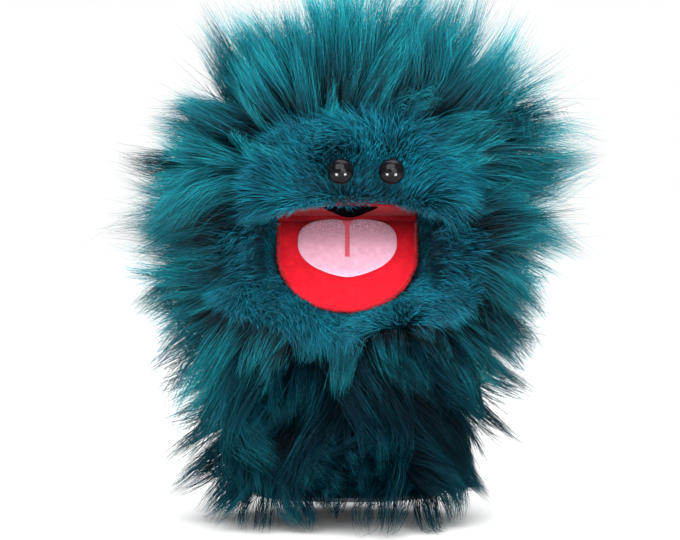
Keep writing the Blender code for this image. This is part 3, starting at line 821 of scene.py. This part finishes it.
def blow_up(piece, cap, voxel=0.0045, pressure=4.0):
    """Swell a stuffed shape with the cloth solver, and let no point move past the cap."""
    pick(piece)
    change = piece.modifiers.new("even mesh", "REMESH")
    change.mode = "VOXEL"
    change.voxel_size = voxel
    bpy.ops.object.modifier_apply(modifier=change.name)
    before = np.array([v.co for v in piece.data.vertices])
    cloth = piece.modifiers.new("cloth", "CLOTH")
    cloth.settings.use_pressure = True
    cloth.settings.uniform_pressure_force = pressure
    cloth.settings.effector_weights.gravity = 0.0
    cloth.settings.quality = 5
    scene = bpy.context.scene
    for step in range(1, 21):
        scene.frame_set(step)
    shaped = piece.evaluated_get(bpy.context.evaluated_depsgraph_get()).to_mesh()
    after = np.array([v.co for v in shaped.vertices])
    piece.evaluated_get(bpy.context.evaluated_depsgraph_get()).to_mesh_clear()
    piece.modifiers.remove(cloth)
    scene.frame_set(1)
    moved = after - before
    far = np.linalg.norm(moved, axis=1, keepdims=True)
    moved *= np.minimum(1.0, cap / np.maximum(far, 1e-9))
    piece.data.vertices.foreach_set("co", (before + moved).reshape(-1).astype(np.float32))
    piece.data.update()
    rounder = piece.modifiers.new("rounder", "SUBSURF")
    rounder.levels = rounder.render_levels = 1
    pick(piece)
    bpy.ops.object.modifier_apply(modifier=rounder.name)
    bpy.ops.object.shade_smooth()
    print(piece.name, "swelled by up to", round(float(far.max()), 4), "m, held to", cap)


BOARD_CLEARANCE = 0.0061
head_skin = ball("head_backing", SKULL, SKULL_RADII * 0.985, backing)
slice_off(head_skin, Vector(on_plate(-UPPER_TILT, 0, 0, BOARD_CLEARANCE)), -upper_normal)
jaw_skin = ball("jaw_backing", (0, 0, 0), JAW_RADII * 0.965, backing)
jaw_skin.data.transform(
    Matrix.Translation(Vector(on_plate(LOWER_TILT, 0.0, JAW_MIDDLE, 0.0)))
    @ Matrix.Rotation(radians(LOWER_TILT), 4, "X"))
slice_off(jaw_skin, Vector(on_plate(LOWER_TILT, 0, 0, -BOARD_CLEARANCE)), off_plate)
slice_off(jaw_skin, Vector(on_plate(LOWER_TILT, 0, -0.008, 0)), -ahead)
for skin, node in ((head_skin, "finger_pocket"), (jaw_skin, "thumb_pocket")):
    low, high = (Vector(corner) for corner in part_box(node))
    hollow(skin, low - Vector((0.001, 0.001, 0.001)), high + Vector((0.001, 0.040, 0.001)))
    blow_up(skin, 0.0025)
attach(head_skin, "upper_head")
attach(jaw_skin, "lower_jaw")
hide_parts("head_fur_front", "head_fur_back", "head_stuffing")
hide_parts("jaw_fur", "jaw_stuffing")

# %% [markdown]
# ## Neck and sleeve
# A tube of the same cloth runs from the hem to the back of the hand. Its fur hangs. It is cut
# into pieces at the wrist, in front and behind.

# %% Neck and sleeve fur
lining_low, lining_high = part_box("sleeve_lining")
TUBE_Y = WRIST.y
HEM_HALF = (lining_high[0] + 0.0075, (lining_high[1] - lining_low[1]) / 2 + 0.0060)
TUBE_TOP = CREASE.z - 0.002
BACK_TOP = np.array([0.0, -0.55, 0.835])
THROAT_POINT = np.array([0.0, TUBE_Y - 0.048, CREASE.z - 0.066])


def tube_half(z):
    """Half width and half depth of the cloth tube at a height."""
    rise = np.clip(z / TUBE_TOP, 0, 1) ** 0.7
    return HEM_HALF[0] + 0.014 * rise, HEM_HALF[1] + 0.010 * rise


def tube_roots(spacing, low, high, rng):
    """Even random roots on a stretch of the tube, below the slant under the head and jaw."""
    number = int(60000 * (high - low))
    z = rng.uniform(low, high, number)
    turn = rng.uniform(0, 2 * pi, number)
    half_x, half_y = tube_half(z)
    points = np.stack([half_x * np.cos(turn), TUBE_Y + half_y * np.sin(turn), z], axis=1)
    normals = unit(np.stack([np.cos(turn) / half_x, np.sin(turn) / half_y, 0 * z], axis=1))
    shown = (points - THROAT_POINT) @ BACK_TOP < 0
    points, normals = points[shown], normals[shown]
    chosen = spaced_roots(points, spacing)
    return points[chosen], normals[chosen]


rows = [tube_roots(0.0051, 0.003, 0.028, rng), tube_roots(0.0060, 0.030, TUBE_TOP, rng)]
roots, normals = (np.concatenate(arrays) for arrays in zip(*rows))
sideways = np.abs(roots[:, 0]) / HEM_HALF[0]
on_left = smooth(-roots[:, 0], 0.030, 0.060)
tidy_side = smooth(roots[:, 0], 0.040, 0.065) * smooth(0.075 - roots[:, 2], 0.0, 0.045)
comb = 0.30 * drift(roots, 0.09, rng)
comb[:, 2] -= 0.75 - 0.35 * smooth(sideways, 0.6, 1.0) + 0.25 * tidy_side
comb[:, 0] += 0.36 * roots[:, 0] / HEM_HALF[0]
length = 0.046 + 0.010 * smooth(roots[:, 2], 0.02, 0.08) + 0.010 * on_left
length *= rng.uniform(0.75, 1.12, len(roots)) * (1 - 0.22 * tidy_side)
length *= 1 - 0.30 * on_left * smooth(0.035 - roots[:, 2], 0.0, 0.020)
hem_corner = (roots[:, 0] > 0.064) & (roots[:, 2] < 0.012)
length[hem_corner] *= 0.35
lift = 0.42 + 0.48 * smooth(sideways, 0.6, 1.0) - 0.30 * tidy_side
paths = guides(roots, normals, comb, length, lift, 0.50, rng, curl=0.34)
at_front, below = roots[:, 1] < TUBE_Y, roots[:, 2] < WRIST.z
parts = [
    ("sleeve_pile_front", at_front & below, painted_shade_fur),
    ("sleeve_pile_back", ~at_front & below, painted_shade_fur),
    ("throat_pile", at_front & ~below, painted_shade_fur),
    ("palm_pile", ~at_front & ~below, painted_shade_fur)]
stands_for = {
    "sleeve_pile_front": "sleeve_fur_front", "sleeve_pile_back": "sleeve_fur_back",
    "throat_pile": "palm_fur", "palm_pile": "palm_fur"}
print("tube locks", len(roots))
# side_tone makes this painted shade lighter towards the sides, more on the left.
side_tone = 0.44 + 0.34 * on_left + 0.22 * smooth(roots[:, 0], 0.045, 0.070)
tube_fur = pelt(parts, paths, normals, rng, 20, 0.0050, tuft=0.019, tone=side_tone)
for name, piece in tube_fur.items():
    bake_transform(piece)
    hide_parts(stands_for[name])

# %% [markdown]
# ## The tube's two cloths
# Under the pile is the knitted backing, and inside that hangs a thin smooth lining. Both are tubes
# of sheet. The lining is given a few fixed ruckles.

# %% Cloth tubes
lining_cloth, start, shader = new_material(
    "lining_cloth", 0.7, Specular_IOR_Level=0.05, Sheen_Weight=0.1)
coords = start.node("ShaderNodeTexCoord", output=3)
weave = start.node("ShaderNodeTexWave", Vector=coords, Scale=420.0, Distortion=0.6, Detail=1.0)
cross_weave = start.node(
    "ShaderNodeTexWave", {"bands_direction": "Z"}, Vector=coords, Scale=420.0, Distortion=0.6)
blotch = start.node("ShaderNodeTexNoise", Vector=coords, Scale=30.0, Detail=4.0)
feed(shader, "Base Color", blotch.ramp((0.3, (0.010, 0.012, 0.016)), (0.7, (0.022, 0.026, 0.032))))
bump(shader, weave + cross_weave, 0.25, 0.0003)


def cloth_tube(name, inset, low, top_gap, ruckle, thickness, material, rng):
    """An oval tube of cloth between the hem and the slant under the head."""
    deselect()
    bpy.ops.mesh.primitive_cylinder_add(
        vertices=96, radius=1.0, depth=TUBE_TOP - low, end_fill_type="NOTHING",
        location=(0, 0, (TUBE_TOP + low) / 2))
    made = settle(bpy.context.object, name, material)
    bpy.ops.object.mode_set(mode="EDIT")
    for cut in np.linspace(low, TUBE_TOP, 42)[1:-1]:
        bpy.ops.mesh.select_all(action="SELECT")
        bpy.ops.mesh.bisect(plane_co=(0, 0, cut), plane_no=(0, 0, 1))
    bpy.ops.object.mode_set(mode="OBJECT")
    places = np.array([v.co for v in made.data.vertices])
    half_x, half_y = tube_half(places[:, 2])
    out = inset + ruckle * swell(places * [0.035, 0.035, 2.2], 0.06, rng)
    places[:, 0] *= half_x - out
    places[:, 1] = TUBE_Y + places[:, 1] * (half_y - out)
    made.data.vertices.foreach_set("co", places.reshape(-1).astype(np.float32))
    slice_off(made, Vector(THROAT_POINT - top_gap * BACK_TOP), BACK_TOP, fill=False)
    wall = made.modifiers.new("wall", "SOLIDIFY")
    wall.thickness = thickness
    wall.offset = 0
    bpy.ops.object.modifier_apply(modifier=wall.name)
    bpy.ops.object.shade_smooth()
    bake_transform(made)
    return made


outer = cloth_tube("sleeve_backing", 0.0008, 0.0035, 0.0, 0.0004, 0.0008, backing, rng)
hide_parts("sleeve_fur_front", "sleeve_fur_back", "palm_fur")
inner = cloth_tube("sleeve_lining_cloth", 0.0052, 0.0045, 0.014, 0.0012, 0.0006, lining_cloth, rng)
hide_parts("sleeve_lining", "palm_lining")

# %% [markdown]
# ## The mouth
# Two pads of red plush meet at the crease. Each is a thin board covered in cloth with a short nap,
# so it is flat with a soft rolled rim. A block is bevelled to the outline and then inset and
# raised in rings, which leaves a crown that light can show.

# %% Red plush pads
plush_red, start, shader = new_material(
    "plush_cloth", 0.92, Specular_IOR_Level=0.02, Sheen_Weight=0.03)
coords = start.node("ShaderNodeTexCoord", output=3)
nap = start.node("ShaderNodeTexNoise", Vector=coords, Scale=1500.0, Detail=4.0, Roughness=0.7)
patch = start.node("ShaderNodeTexNoise", Vector=coords, Scale=160.0, Detail=3.0)
grain = nap * 0.6 + patch * 0.4
place = start.node("ShaderNodeSeparateXYZ", Vector=coords)
height = Wire(place.tree, place.socket.node.outputs[2])
# Painted shade: the red turns dark near and above the crease, where the upper lip shades the mouth,
# so the whole upper pad is painted dark.
painted_crease_shade = height.between(CREASE.z - 0.016, CREASE.z - 0.001)
outer_red = grain.ramp((0.32, (0.44, 0.005, 0.013)), (0.66, (0.76, 0.014, 0.028)))
painted_shade_red = grain.ramp((0.32, (0.13, 0.002, 0.005)), (0.66, (0.26, 0.005, 0.010)))
feed(shader, "Base Color", painted_crease_shade.mix(outer_red, painted_shade_red))
bump(shader, nap * 0.7 + patch * 0.6, 0.7, 0.0008)
PAD_BACK = -0.0034
PAD_BLOCK = 0.0018
NAP_FACE = -0.0001
FRONT_RADIUS = MOUTH_HALF - 0.0002


def mouth_pad(name, tilt, facing):
    """A crowned pad with the mouth's outline. Facing is 1 for the lower, -1 for the upper."""
    deselect()
    back = 0.0018
    deep = MOUTH_DEPTH - back
    bpy.ops.mesh.primitive_cube_add(
        size=1.0, location=(0, back + deep / 2, PAD_BACK + PAD_BLOCK / 2))
    made = bpy.context.object
    made.scale = (2 * MOUTH_HALF, deep, PAD_BLOCK)
    settle(made, name, plush_red)
    bpy.ops.object.mode_set(mode="EDIT")
    bpy.ops.mesh.select_mode(type="EDGE")
    work = bmesh.from_edit_mesh(made.data)
    for edge in work.edges:
        ends = [v.co for v in edge.verts]
        upright = abs(ends[0].z - ends[1].z) > 0.001
        edge.select = upright and ends[0].y > MOUTH_DEPTH - 0.001
    bmesh.update_edit_mesh(made.data)
    bpy.ops.mesh.bevel(offset=FRONT_RADIUS, segments=28, affect="EDGES")
    bpy.ops.mesh.select_mode(type="FACE")
    work = bmesh.from_edit_mesh(made.data)
    for face in work.faces:
        face.select = face.normal.z > 0.9
    bmesh.update_edit_mesh(made.data)
    for inset, rise in ((0.0006, 0.0007), (0.0010, 0.0004), (0.0030, 0.0003), (0.0100, 0.0001)):
        bpy.ops.mesh.inset(thickness=inset)
        bpy.ops.transform.translate(value=(0, 0, rise))
    bpy.ops.mesh.poke()
    bpy.ops.object.mode_set(mode="OBJECT")
    rounder = made.modifiers.new("rounder", "SUBSURF")
    rounder.subdivision_type = "SIMPLE"
    rounder.levels = rounder.render_levels = 2
    bpy.ops.object.modifier_apply(modifier=rounder.name)
    places = np.array([v.co for v in made.data.vertices])
    on_top = smooth(places[:, 2], PAD_BACK + 0.001, NAP_FACE - 0.001)
    places[:, 2] += 0.00016 * on_top * swell(places * [1, 1, 0], 0.006, rng)
    rim = smooth(outside_mouth(places[:, 0], places[:, 1]), -0.003, -0.0004)
    middle = places[:, :2] - np.array([0, MOUTH_STRAIGHT])
    middle[:, 1] = np.maximum(middle[:, 1], 0)
    flat = places * [1, 1, 0]
    ragged = 0.00045 * (swell(flat, 0.009, rng) + 0.6 * swell(flat, 0.003, rng))
    places[:, :2] += (rim * ragged)[:, None] * unit(middle + 1e-9)
    world = on_plate(tilt, places[:, 0], places[:, 1], facing * places[:, 2])
    made.data.vertices.foreach_set("co", world.reshape(-1).astype(np.float32))
    bpy.ops.object.mode_set(mode="EDIT")
    bpy.ops.mesh.select_all(action="SELECT")
    bpy.ops.mesh.normals_make_consistent(inside=False)
    bpy.ops.object.mode_set(mode="OBJECT")
    bpy.ops.object.shade_smooth_by_angle(angle=radians(50))
    return made


lower_pad = mouth_pad("lower_mouth_plush", LOWER_TILT, 1)
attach(lower_pad, "lower_jaw")
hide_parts("lower_mouth_lining")
upper_pad = mouth_pad("upper_mouth_plush", -UPPER_TILT, -1)
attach(upper_pad, "upper_head")
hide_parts("upper_mouth_lining")

# %% [markdown]
# ## The nap's loose rim
# Where the plush is cut, its fibres stand out past the edge and make the outline ragged. They are
# strands like the fur's, but a millimetre long.

# %% Red fibres round the pads
red_fibre, start, shader = new_material("mouth_plush_fibre", 0.8)
along = start.node("ShaderNodeUVMap", {"uv_map": FUR_MAP})
tone = start.node("ShaderNodeSeparateXYZ", Vector=along)
feed(shader, "Base Color", tone.ramp((0.0, (0.36, 0.004, 0.010)), (1.0, (0.80, 0.018, 0.034))))


def rim_fibres(name, tilt, facing, count, rng):
    """Short red strands that lean out over the cut edge of a pad."""
    crease_end = 0.004
    straight = MOUTH_STRAIGHT - crease_end
    run = rng.uniform(0, 1, count) * (2 * straight + pi * MOUTH_HALF)
    turn = np.clip((run - straight) / MOUTH_HALF, 0, pi)
    inset = rng.uniform(-0.0002, 0.0016, count)
    radius = MOUTH_HALF - inset
    across = -radius * np.cos(turn)
    forward = MOUTH_STRAIGHT + radius * np.sin(turn)
    forward = np.where(run < straight, crease_end + run, forward)
    past = run - straight - pi * MOUTH_HALF
    forward = np.where(past > 0, MOUTH_STRAIGHT - past, forward)
    off = NAP_FACE - 0.0004 - 0.0010 * smooth(-inset, -0.0010, 0.0002)
    roots = on_plate(tilt, across, forward, facing * off)
    along, normal = plate_axes(tilt)
    lean = -np.cos(turn)[:, None] * ACROSS + np.sin(turn)[:, None] * along
    up = np.broadcast_to(facing * normal, roots.shape)
    length = rng.uniform(0.0009, 0.0026, count)
    paths = guides(roots, up, lean * 0.8, length, 0.6, 0.0, rng, curl=0.8, steps=2)
    width = rng.uniform(0.00006, 0.00012, count)
    made = strands(name, paths, width, rng.uniform(0.1, 0.9, count), red_fibre, rng)
    return made


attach(rim_fibres("lower_plush_rim", LOWER_TILT, 1, 3200, rng), "lower_jaw")

# %% [markdown]
# ## The tongue
# A piece of pale pink felt is sewn into the crease. It is wide and short, straight at the back
# with rounded corners, and blunt in front. A darker line is printed down its middle, wide at the
# back. A flattened ball gives rings to shape: each ring keeps its share of the outline.

# %% Tongue
tongue_low, tongue_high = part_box("tongue")
TONGUE_HALF = (tongue_high[0] - tongue_low[0]) / 2
front_corner = np.array([0, tongue_low[1], tongue_low[2]])
back_corner = np.array([0, tongue_high[1], tongue_high[2]])
TONGUE_END = float((front_corner - np.array(CREASE)) @ ahead) - 0.0006
TONGUE_START = float((back_corner - np.array(CREASE)) @ ahead) - 0.0032
TONGUE_WIDEST = TONGUE_START + 0.42 * (TONGUE_END - TONGUE_START)
TONGUE_OFF = 0.0008
print("tongue from", round(TONGUE_START, 4), "to", round(TONGUE_END, 4))

LINE_END = TONGUE_START + 0.66 * (TONGUE_END - TONGUE_START)
LINE_HALF = 0.0014

felt, start, shader = new_material("tongue_felt", 0.95, Specular_IOR_Level=0.15, Sheen_Weight=0.05)
coords = start.node("ShaderNodeTexCoord", output=3)
place = start.node("ShaderNodeSeparateXYZ", Vector=coords)
across_wire = abs(place)
along_z = Wire(place.tree, place.socket.node.outputs[2])
run = (CREASE.z - along_z + 0.0018 * cos(radians(LOWER_TILT))) / sin(radians(LOWER_TILT))
fibre = start.node("ShaderNodeTexNoise", Vector=coords, Scale=1300.0, Detail=5.0, Roughness=0.75)
pill = start.node("ShaderNodeTexNoise", Vector=coords, Scale=260.0, Detail=2.0)
flare = 0.0034 * (1.0 - (run - TONGUE_START).between(-0.001, 0.0075)) ** 1.6
half_line = flare + (LINE_HALF + 0.0002 * fibre)
edge_soft = (across_wire - half_line).between(-0.0003, 0.0003)
ended = (run - LINE_END).between(-0.0006, 0.0006)
unprinted = edge_soft.maths("MAXIMUM", edge_soft, ended)
pale = (fibre * 0.7 + pill * 0.3).ramp((0.35, (0.60, 0.27, 0.37)), (0.65, (0.78, 0.44, 0.56)))
flecks = (1.0 - (run - TONGUE_START).between(0.0, 0.026)) * fibre.between(0.40, 0.56)
felt_colour = flecks.mix(pale, (0.25, 0.13, 0.17, 1))
print_colour = fibre.ramp((0.35, (0.48, 0.050, 0.080)), (0.65, (0.68, 0.110, 0.160)))
feed(shader, "Base Color", unprinted.mix(print_colour, felt_colour))
bump(shader, fibre * 0.6 + pill * 0.5, 0.5, 0.0004)

tongue = ball("felt_tongue", (0, 0, 0), (1, 1, 1), felt, segments=96, rings=40)
places = np.array([v.co for v in tongue.data.vertices])
ring = np.minimum(np.hypot(places[:, 0], places[:, 1]), 1.0)
turn = np.arctan2(places[:, 1], places[:, 0])
level = np.abs(np.sin(turn))
blunt = (1 - level ** 2) ** 0.62
square = (1 - level ** 3.2) ** (1 / 3.0)
half = TONGUE_HALF * np.where(np.sin(turn) > 0, blunt, square) * np.sign(np.cos(turn))
reach = np.where(np.sin(turn) > 0, TONGUE_END - TONGUE_WIDEST, TONGUE_START - TONGUE_WIDEST)
across = ring * half
forward = TONGUE_WIDEST + ring * level * reach
notch = np.exp(-(across / 0.0045) ** 2) * np.clip(-np.sin(turn), 0, 1) ** 8 * ring ** 6
forward += 0.0012 * notch
off = TONGUE_OFF + np.sign(places[:, 2]) * 0.00072 * np.sqrt(1 - ring ** 9)
off -= 0.00022 * np.exp(-(across / 0.0013) ** 2) * (forward < LINE_END) * (places[:, 2] > 0)
off += 0.0003 * np.sin(across / 0.009) ** 2
off += 0.0008 * smooth(forward, TONGUE_END - 0.012, TONGUE_END)
off += 0.0005 * smooth(-forward, -0.011, -TONGUE_START)
world = on_plate(LOWER_TILT, across, forward, off)
tongue.data.vertices.foreach_set("co", world.reshape(-1).astype(np.float32))
pick(tongue)
bpy.ops.object.mode_set(mode="EDIT")
bpy.ops.mesh.select_all(action="SELECT")
bpy.ops.mesh.normals_make_consistent(inside=False)
bpy.ops.object.mode_set(mode="OBJECT")
bpy.ops.object.shade_smooth_by_angle(angle=radians(60))
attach(tongue, "lower_jaw")
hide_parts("tongue")

# %% [markdown]
# ## The throat
# In the middle of the upper pad a black gusset widens from the crease towards the lip. It makes
# the open mouth look deep. It is a thin fan of felt.

# %% Throat gusset
black_felt, start, shader = new_material("black_felt", 0.95, Specular_IOR_Level=0.0)
coords = start.node("ShaderNodeTexCoord", output=3)
fluff = start.node("ShaderNodeTexNoise", Vector=coords, Scale=1100.0, Detail=4.0)
feed(shader, "Base Color", fluff.ramp(
    (0.3, (0.0008, 0.0008, 0.0012)), (0.7, (0.003, 0.003, 0.004))))
bump(shader, fluff, 0.5, 0.0004)

deselect()
bpy.ops.mesh.primitive_cube_add(size=1.0, location=(0, 0, 0))
gusset = settle(bpy.context.object, "throat_gusset", black_felt)
bpy.ops.object.mode_set(mode="EDIT")
bpy.ops.mesh.select_all(action="SELECT")
bpy.ops.mesh.subdivide(number_cuts=12)
bpy.ops.object.mode_set(mode="OBJECT")
places = np.array([v.co for v in gusset.data.vertices])
share = places[:, 1] + 0.5
forward = 0.0045 + share * (MOUTH_DEPTH - 0.0060)
half = 0.0025 + 0.0135 * share ** 0.8
across = 2 * places[:, 0] * half + 0.0015
curve = 1 - (np.abs(2 * places[:, 0]) ** 2) * 0.06 * share
off = 0.0004 + 0.0005 * places[:, 2] + 0.0001 * np.sin(across * 900)
world = on_plate(-UPPER_TILT, across, forward * curve, -off)
gusset.data.vertices.foreach_set("co", world.reshape(-1).astype(np.float32))
pick(gusset)
bpy.ops.object.mode_set(mode="EDIT")
bpy.ops.mesh.select_all(action="SELECT")
bpy.ops.mesh.normals_make_consistent(inside=False)
bpy.ops.object.mode_set(mode="OBJECT")
bpy.ops.object.shade_smooth_by_angle(angle=radians(40))
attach(gusset, "upper_head")

# %% [markdown]
# ## Eyes
# Each eye is a moulded black dome. Its gloss is a hard coat over black plastic, and it is never
# quite clean: fine scuffs change the roughness a little.

# %% Eye domes
eye_black, start, shader = new_material(
    "eye_black", 0.14, Specular_IOR_Level=0.05, Coat_Weight=0.17, Coat_Roughness=0.03, Coat_IOR=1.4)
coords = start.node("ShaderNodeTexCoord", output=3)
scuff = start.node("ShaderNodeTexNoise", Vector=coords, Scale=700.0, Detail=5.0, Roughness=0.7)
feed(shader, "Base Color", scuff.ramp((0.3, (0.0015, 0.0015, 0.002)), (0.8, (0.006, 0.006, 0.008))))
feed(shader, "Roughness", scuff.node(
    "ShaderNodeMapRange", Value=scuff, From_Min=0.3, From_Max=0.8, To_Min=0.10, To_Max=0.24))

for label, node in (("left", "eye_left"), ("right", "eye_right")):
    low, high = (Vector(corner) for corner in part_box(node))
    half = (high.x - low.x) / 2
    dome = 0.0065
    middle = Vector(((low.x + high.x) / 2, low.y + dome, (low.z + high.z) / 2))
    eye = ball("eye_dome_" + label, middle, (half, dome, half), eye_black, segments=64, rings=40)
    slice_off(eye, middle + Vector((0, 0.0022, 0)), (0, 1, 0))
    bpy.ops.object.shade_smooth_by_angle(angle=radians(40))
    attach(eye, "upper_head")
    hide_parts(node)

# %% [markdown]
# ## Finishes of the parts that stay
# The boards, pockets, washers, crease tape and hem band keep their shapes from the frame. Each
# gets the finish of its real material.

# %% Materials for the frame's own parts
board_card, start, shader = new_material("pressed_card", 0.9)
coords = start.node("ShaderNodeTexCoord", output=3)
pulp = start.node("ShaderNodeTexNoise", Vector=coords, Scale=500.0, Detail=5.0)
feed(shader, "Base Color", pulp.ramp((0.3, (0.010, 0.012, 0.015)), (0.7, (0.026, 0.028, 0.032))))
bump(shader, pulp, 0.3, 0.0003)

washer_black, start, shader = new_material("washer_nylon", 0.4)
coords = start.node("ShaderNodeTexCoord", output=3)
mould = start.node("ShaderNodeTexNoise", Vector=coords, Scale=300.0, Detail=3.0)
feed(shader, "Base Color", mould.ramp((0.3, (0.006, 0.006, 0.007)), (0.7, (0.014, 0.014, 0.016))))
bump(shader, mould, 0.15, 0.0002)

hem_binding, start, shader = new_material("hem_bias_tape", 0.6, Sheen_Weight=0.3)
coords = start.node("ShaderNodeTexCoord", output=3)
rib = start.node(
    "ShaderNodeTexWave", {"bands_direction": "Z"},
    Vector=coords, Scale=260.0, Distortion=1.2, Detail=2.0)
thread = start.node("ShaderNodeTexNoise", Vector=coords, Scale=900.0, Detail=3.0)
feed(shader, "Base Color", (rib * 0.5 + thread * 0.5).ramp(
    (0.3, (0.0008, 0.007, 0.011)), (0.7, (0.003, 0.024, 0.033))))
bump(shader, rib * 0.6 + thread * 0.6, 0.5, 0.0005)

FINISHES = {
    "upper_mouth_board": board_card, "lower_mouth_board": board_card,
    "eye_washer_left": washer_black, "eye_washer_right": washer_black,
    "finger_pocket": lining_cloth, "thumb_pocket": lining_cloth,
    "mouth_crease_tape": plush_red, "sleeve_hem_band": hem_binding}
for node, finish in FINISHES.items():
    made = frame["nodes"][node]
    for material_slot in made.material_slots:
        material_slot.material = finish
    print(node, "wears", finish.name)

# %% [markdown]
# ## Light, floor and camera
# One large soft lamp high in front makes the crown bright and leaves the neck in the head's
# shadow. Two small lamps low in front are only there to glint in the eyes. The floor is pale paper
# with painted light: past a quarter metre it glows, for the camera only, so that it has no visible
# end.

# %% Camera, light and stage
def area_light(name, place, aim, size, power):
    data = bpy.data.lights.new(name, "AREA")
    data.shape = "RECTANGLE"
    data.size, data.size_y = size
    data.energy = power
    made = bpy.data.objects.new(name, data)
    bpy.context.scene.collection.objects.link(made)
    made.location = place
    made.rotation_euler = (Vector(aim) - Vector(place)).to_track_quat("-Z", "Y").to_euler()
    return made


area_light("key", (-0.15, -1.05, 0.98), (0, 0, 0.18), (1.5, 1.0), 36)
area_light("fill", (0.45, -1.30, 0.30), (0, 0, 0.18), (0.9, 0.7), 14)
area_light("top", (0.1, 0.10, 1.3), (0, 0, 0.2), (1.2, 1.0), 20)
EYES_MIDDLE = (0.0105, -0.065, 0.2015)
GLINT_APART = 0.183
for side in (-1, 1):
    place = (EYES_MIDDLE[0] + GLINT_APART * side, -0.330, 0.064)
    glint = area_light("glint", place, EYES_MIDDLE, (0.11, 0.09), 3.2)
    glint.visible_diffuse = False

world = bpy.data.worlds.new("studio")
bpy.context.scene.world = world
world.use_nodes = True
tree = world.node_tree
tree.nodes["Background"].inputs["Color"].default_value = (1, 1, 1, 1)
rays = Wire(tree, None).node("ShaderNodeLightPath")
AROUND = 0.24
brightness = rays * (1.0 - AROUND) + AROUND
tree.links.new(brightness.socket, tree.nodes["Background"].inputs["Strength"])
bpy.context.scene.view_settings.view_transform = "Standard"

deselect()
FLOOR_Z = float(LIMIT_LOW[2]) - 0.001
bpy.ops.mesh.primitive_plane_add(size=12.0, location=(0, 0, FLOOR_Z))
floor = bpy.context.object
floor.name = "studio_floor"
bpy.ops.object.transform_apply(location=True, rotation=True, scale=True)
paper, start, shader = new_material("studio_paper", 0.9, Specular_IOR_Level=0.0)
coords = start.node("ShaderNodeTexCoord", output=3)
distance = coords.node("ShaderNodeVectorMath", {"operation": "LENGTH"}, output=1, i0=coords)
tooth = start.node("ShaderNodeTexNoise", Vector=coords, Scale=80.0)
feed(shader, "Base Color", tooth.ramp((0.0, (0.86, 0.86, 0.86)), (1.0, (0.88, 0.88, 0.88))))
# Painted light: past a quarter metre the floor glows, for the camera only, up to full white by 0.9 m.
glow = distance.between(0.25, 0.9) * start.node("ShaderNodeLightPath")
feed(shader, "Emission Color", glow.mix((0, 0, 0, 1), (1, 1, 1, 1)))
shader.inputs["Emission Strength"].default_value = 0.95
floor.data.materials.append(paper)

data = bpy.data.cameras.new("camera")
camera = bpy.data.objects.new("camera", data)
bpy.context.scene.collection.objects.link(camera)
bpy.context.scene.camera = camera
AIM = Vector((-0.0045, 0.0, 0.1420))
DISTANCE = 1.10
HEAD_FRONT = 0.04
SEEN_WIDTH = 0.408
SENSOR = 36.0
camera.location = (AIM.x, -DISTANCE, CREASE.z + 0.004)
camera.rotation_euler = (AIM - camera.location).to_track_quat("-Z", "Y").to_euler()
data.sensor_width = SENSOR
data.lens = SENSOR * (DISTANCE - HEAD_FRONT) / SEEN_WIDTH

# %% The fur's triangle count
print("fur triangles", sum(FUR_TRIANGLES))
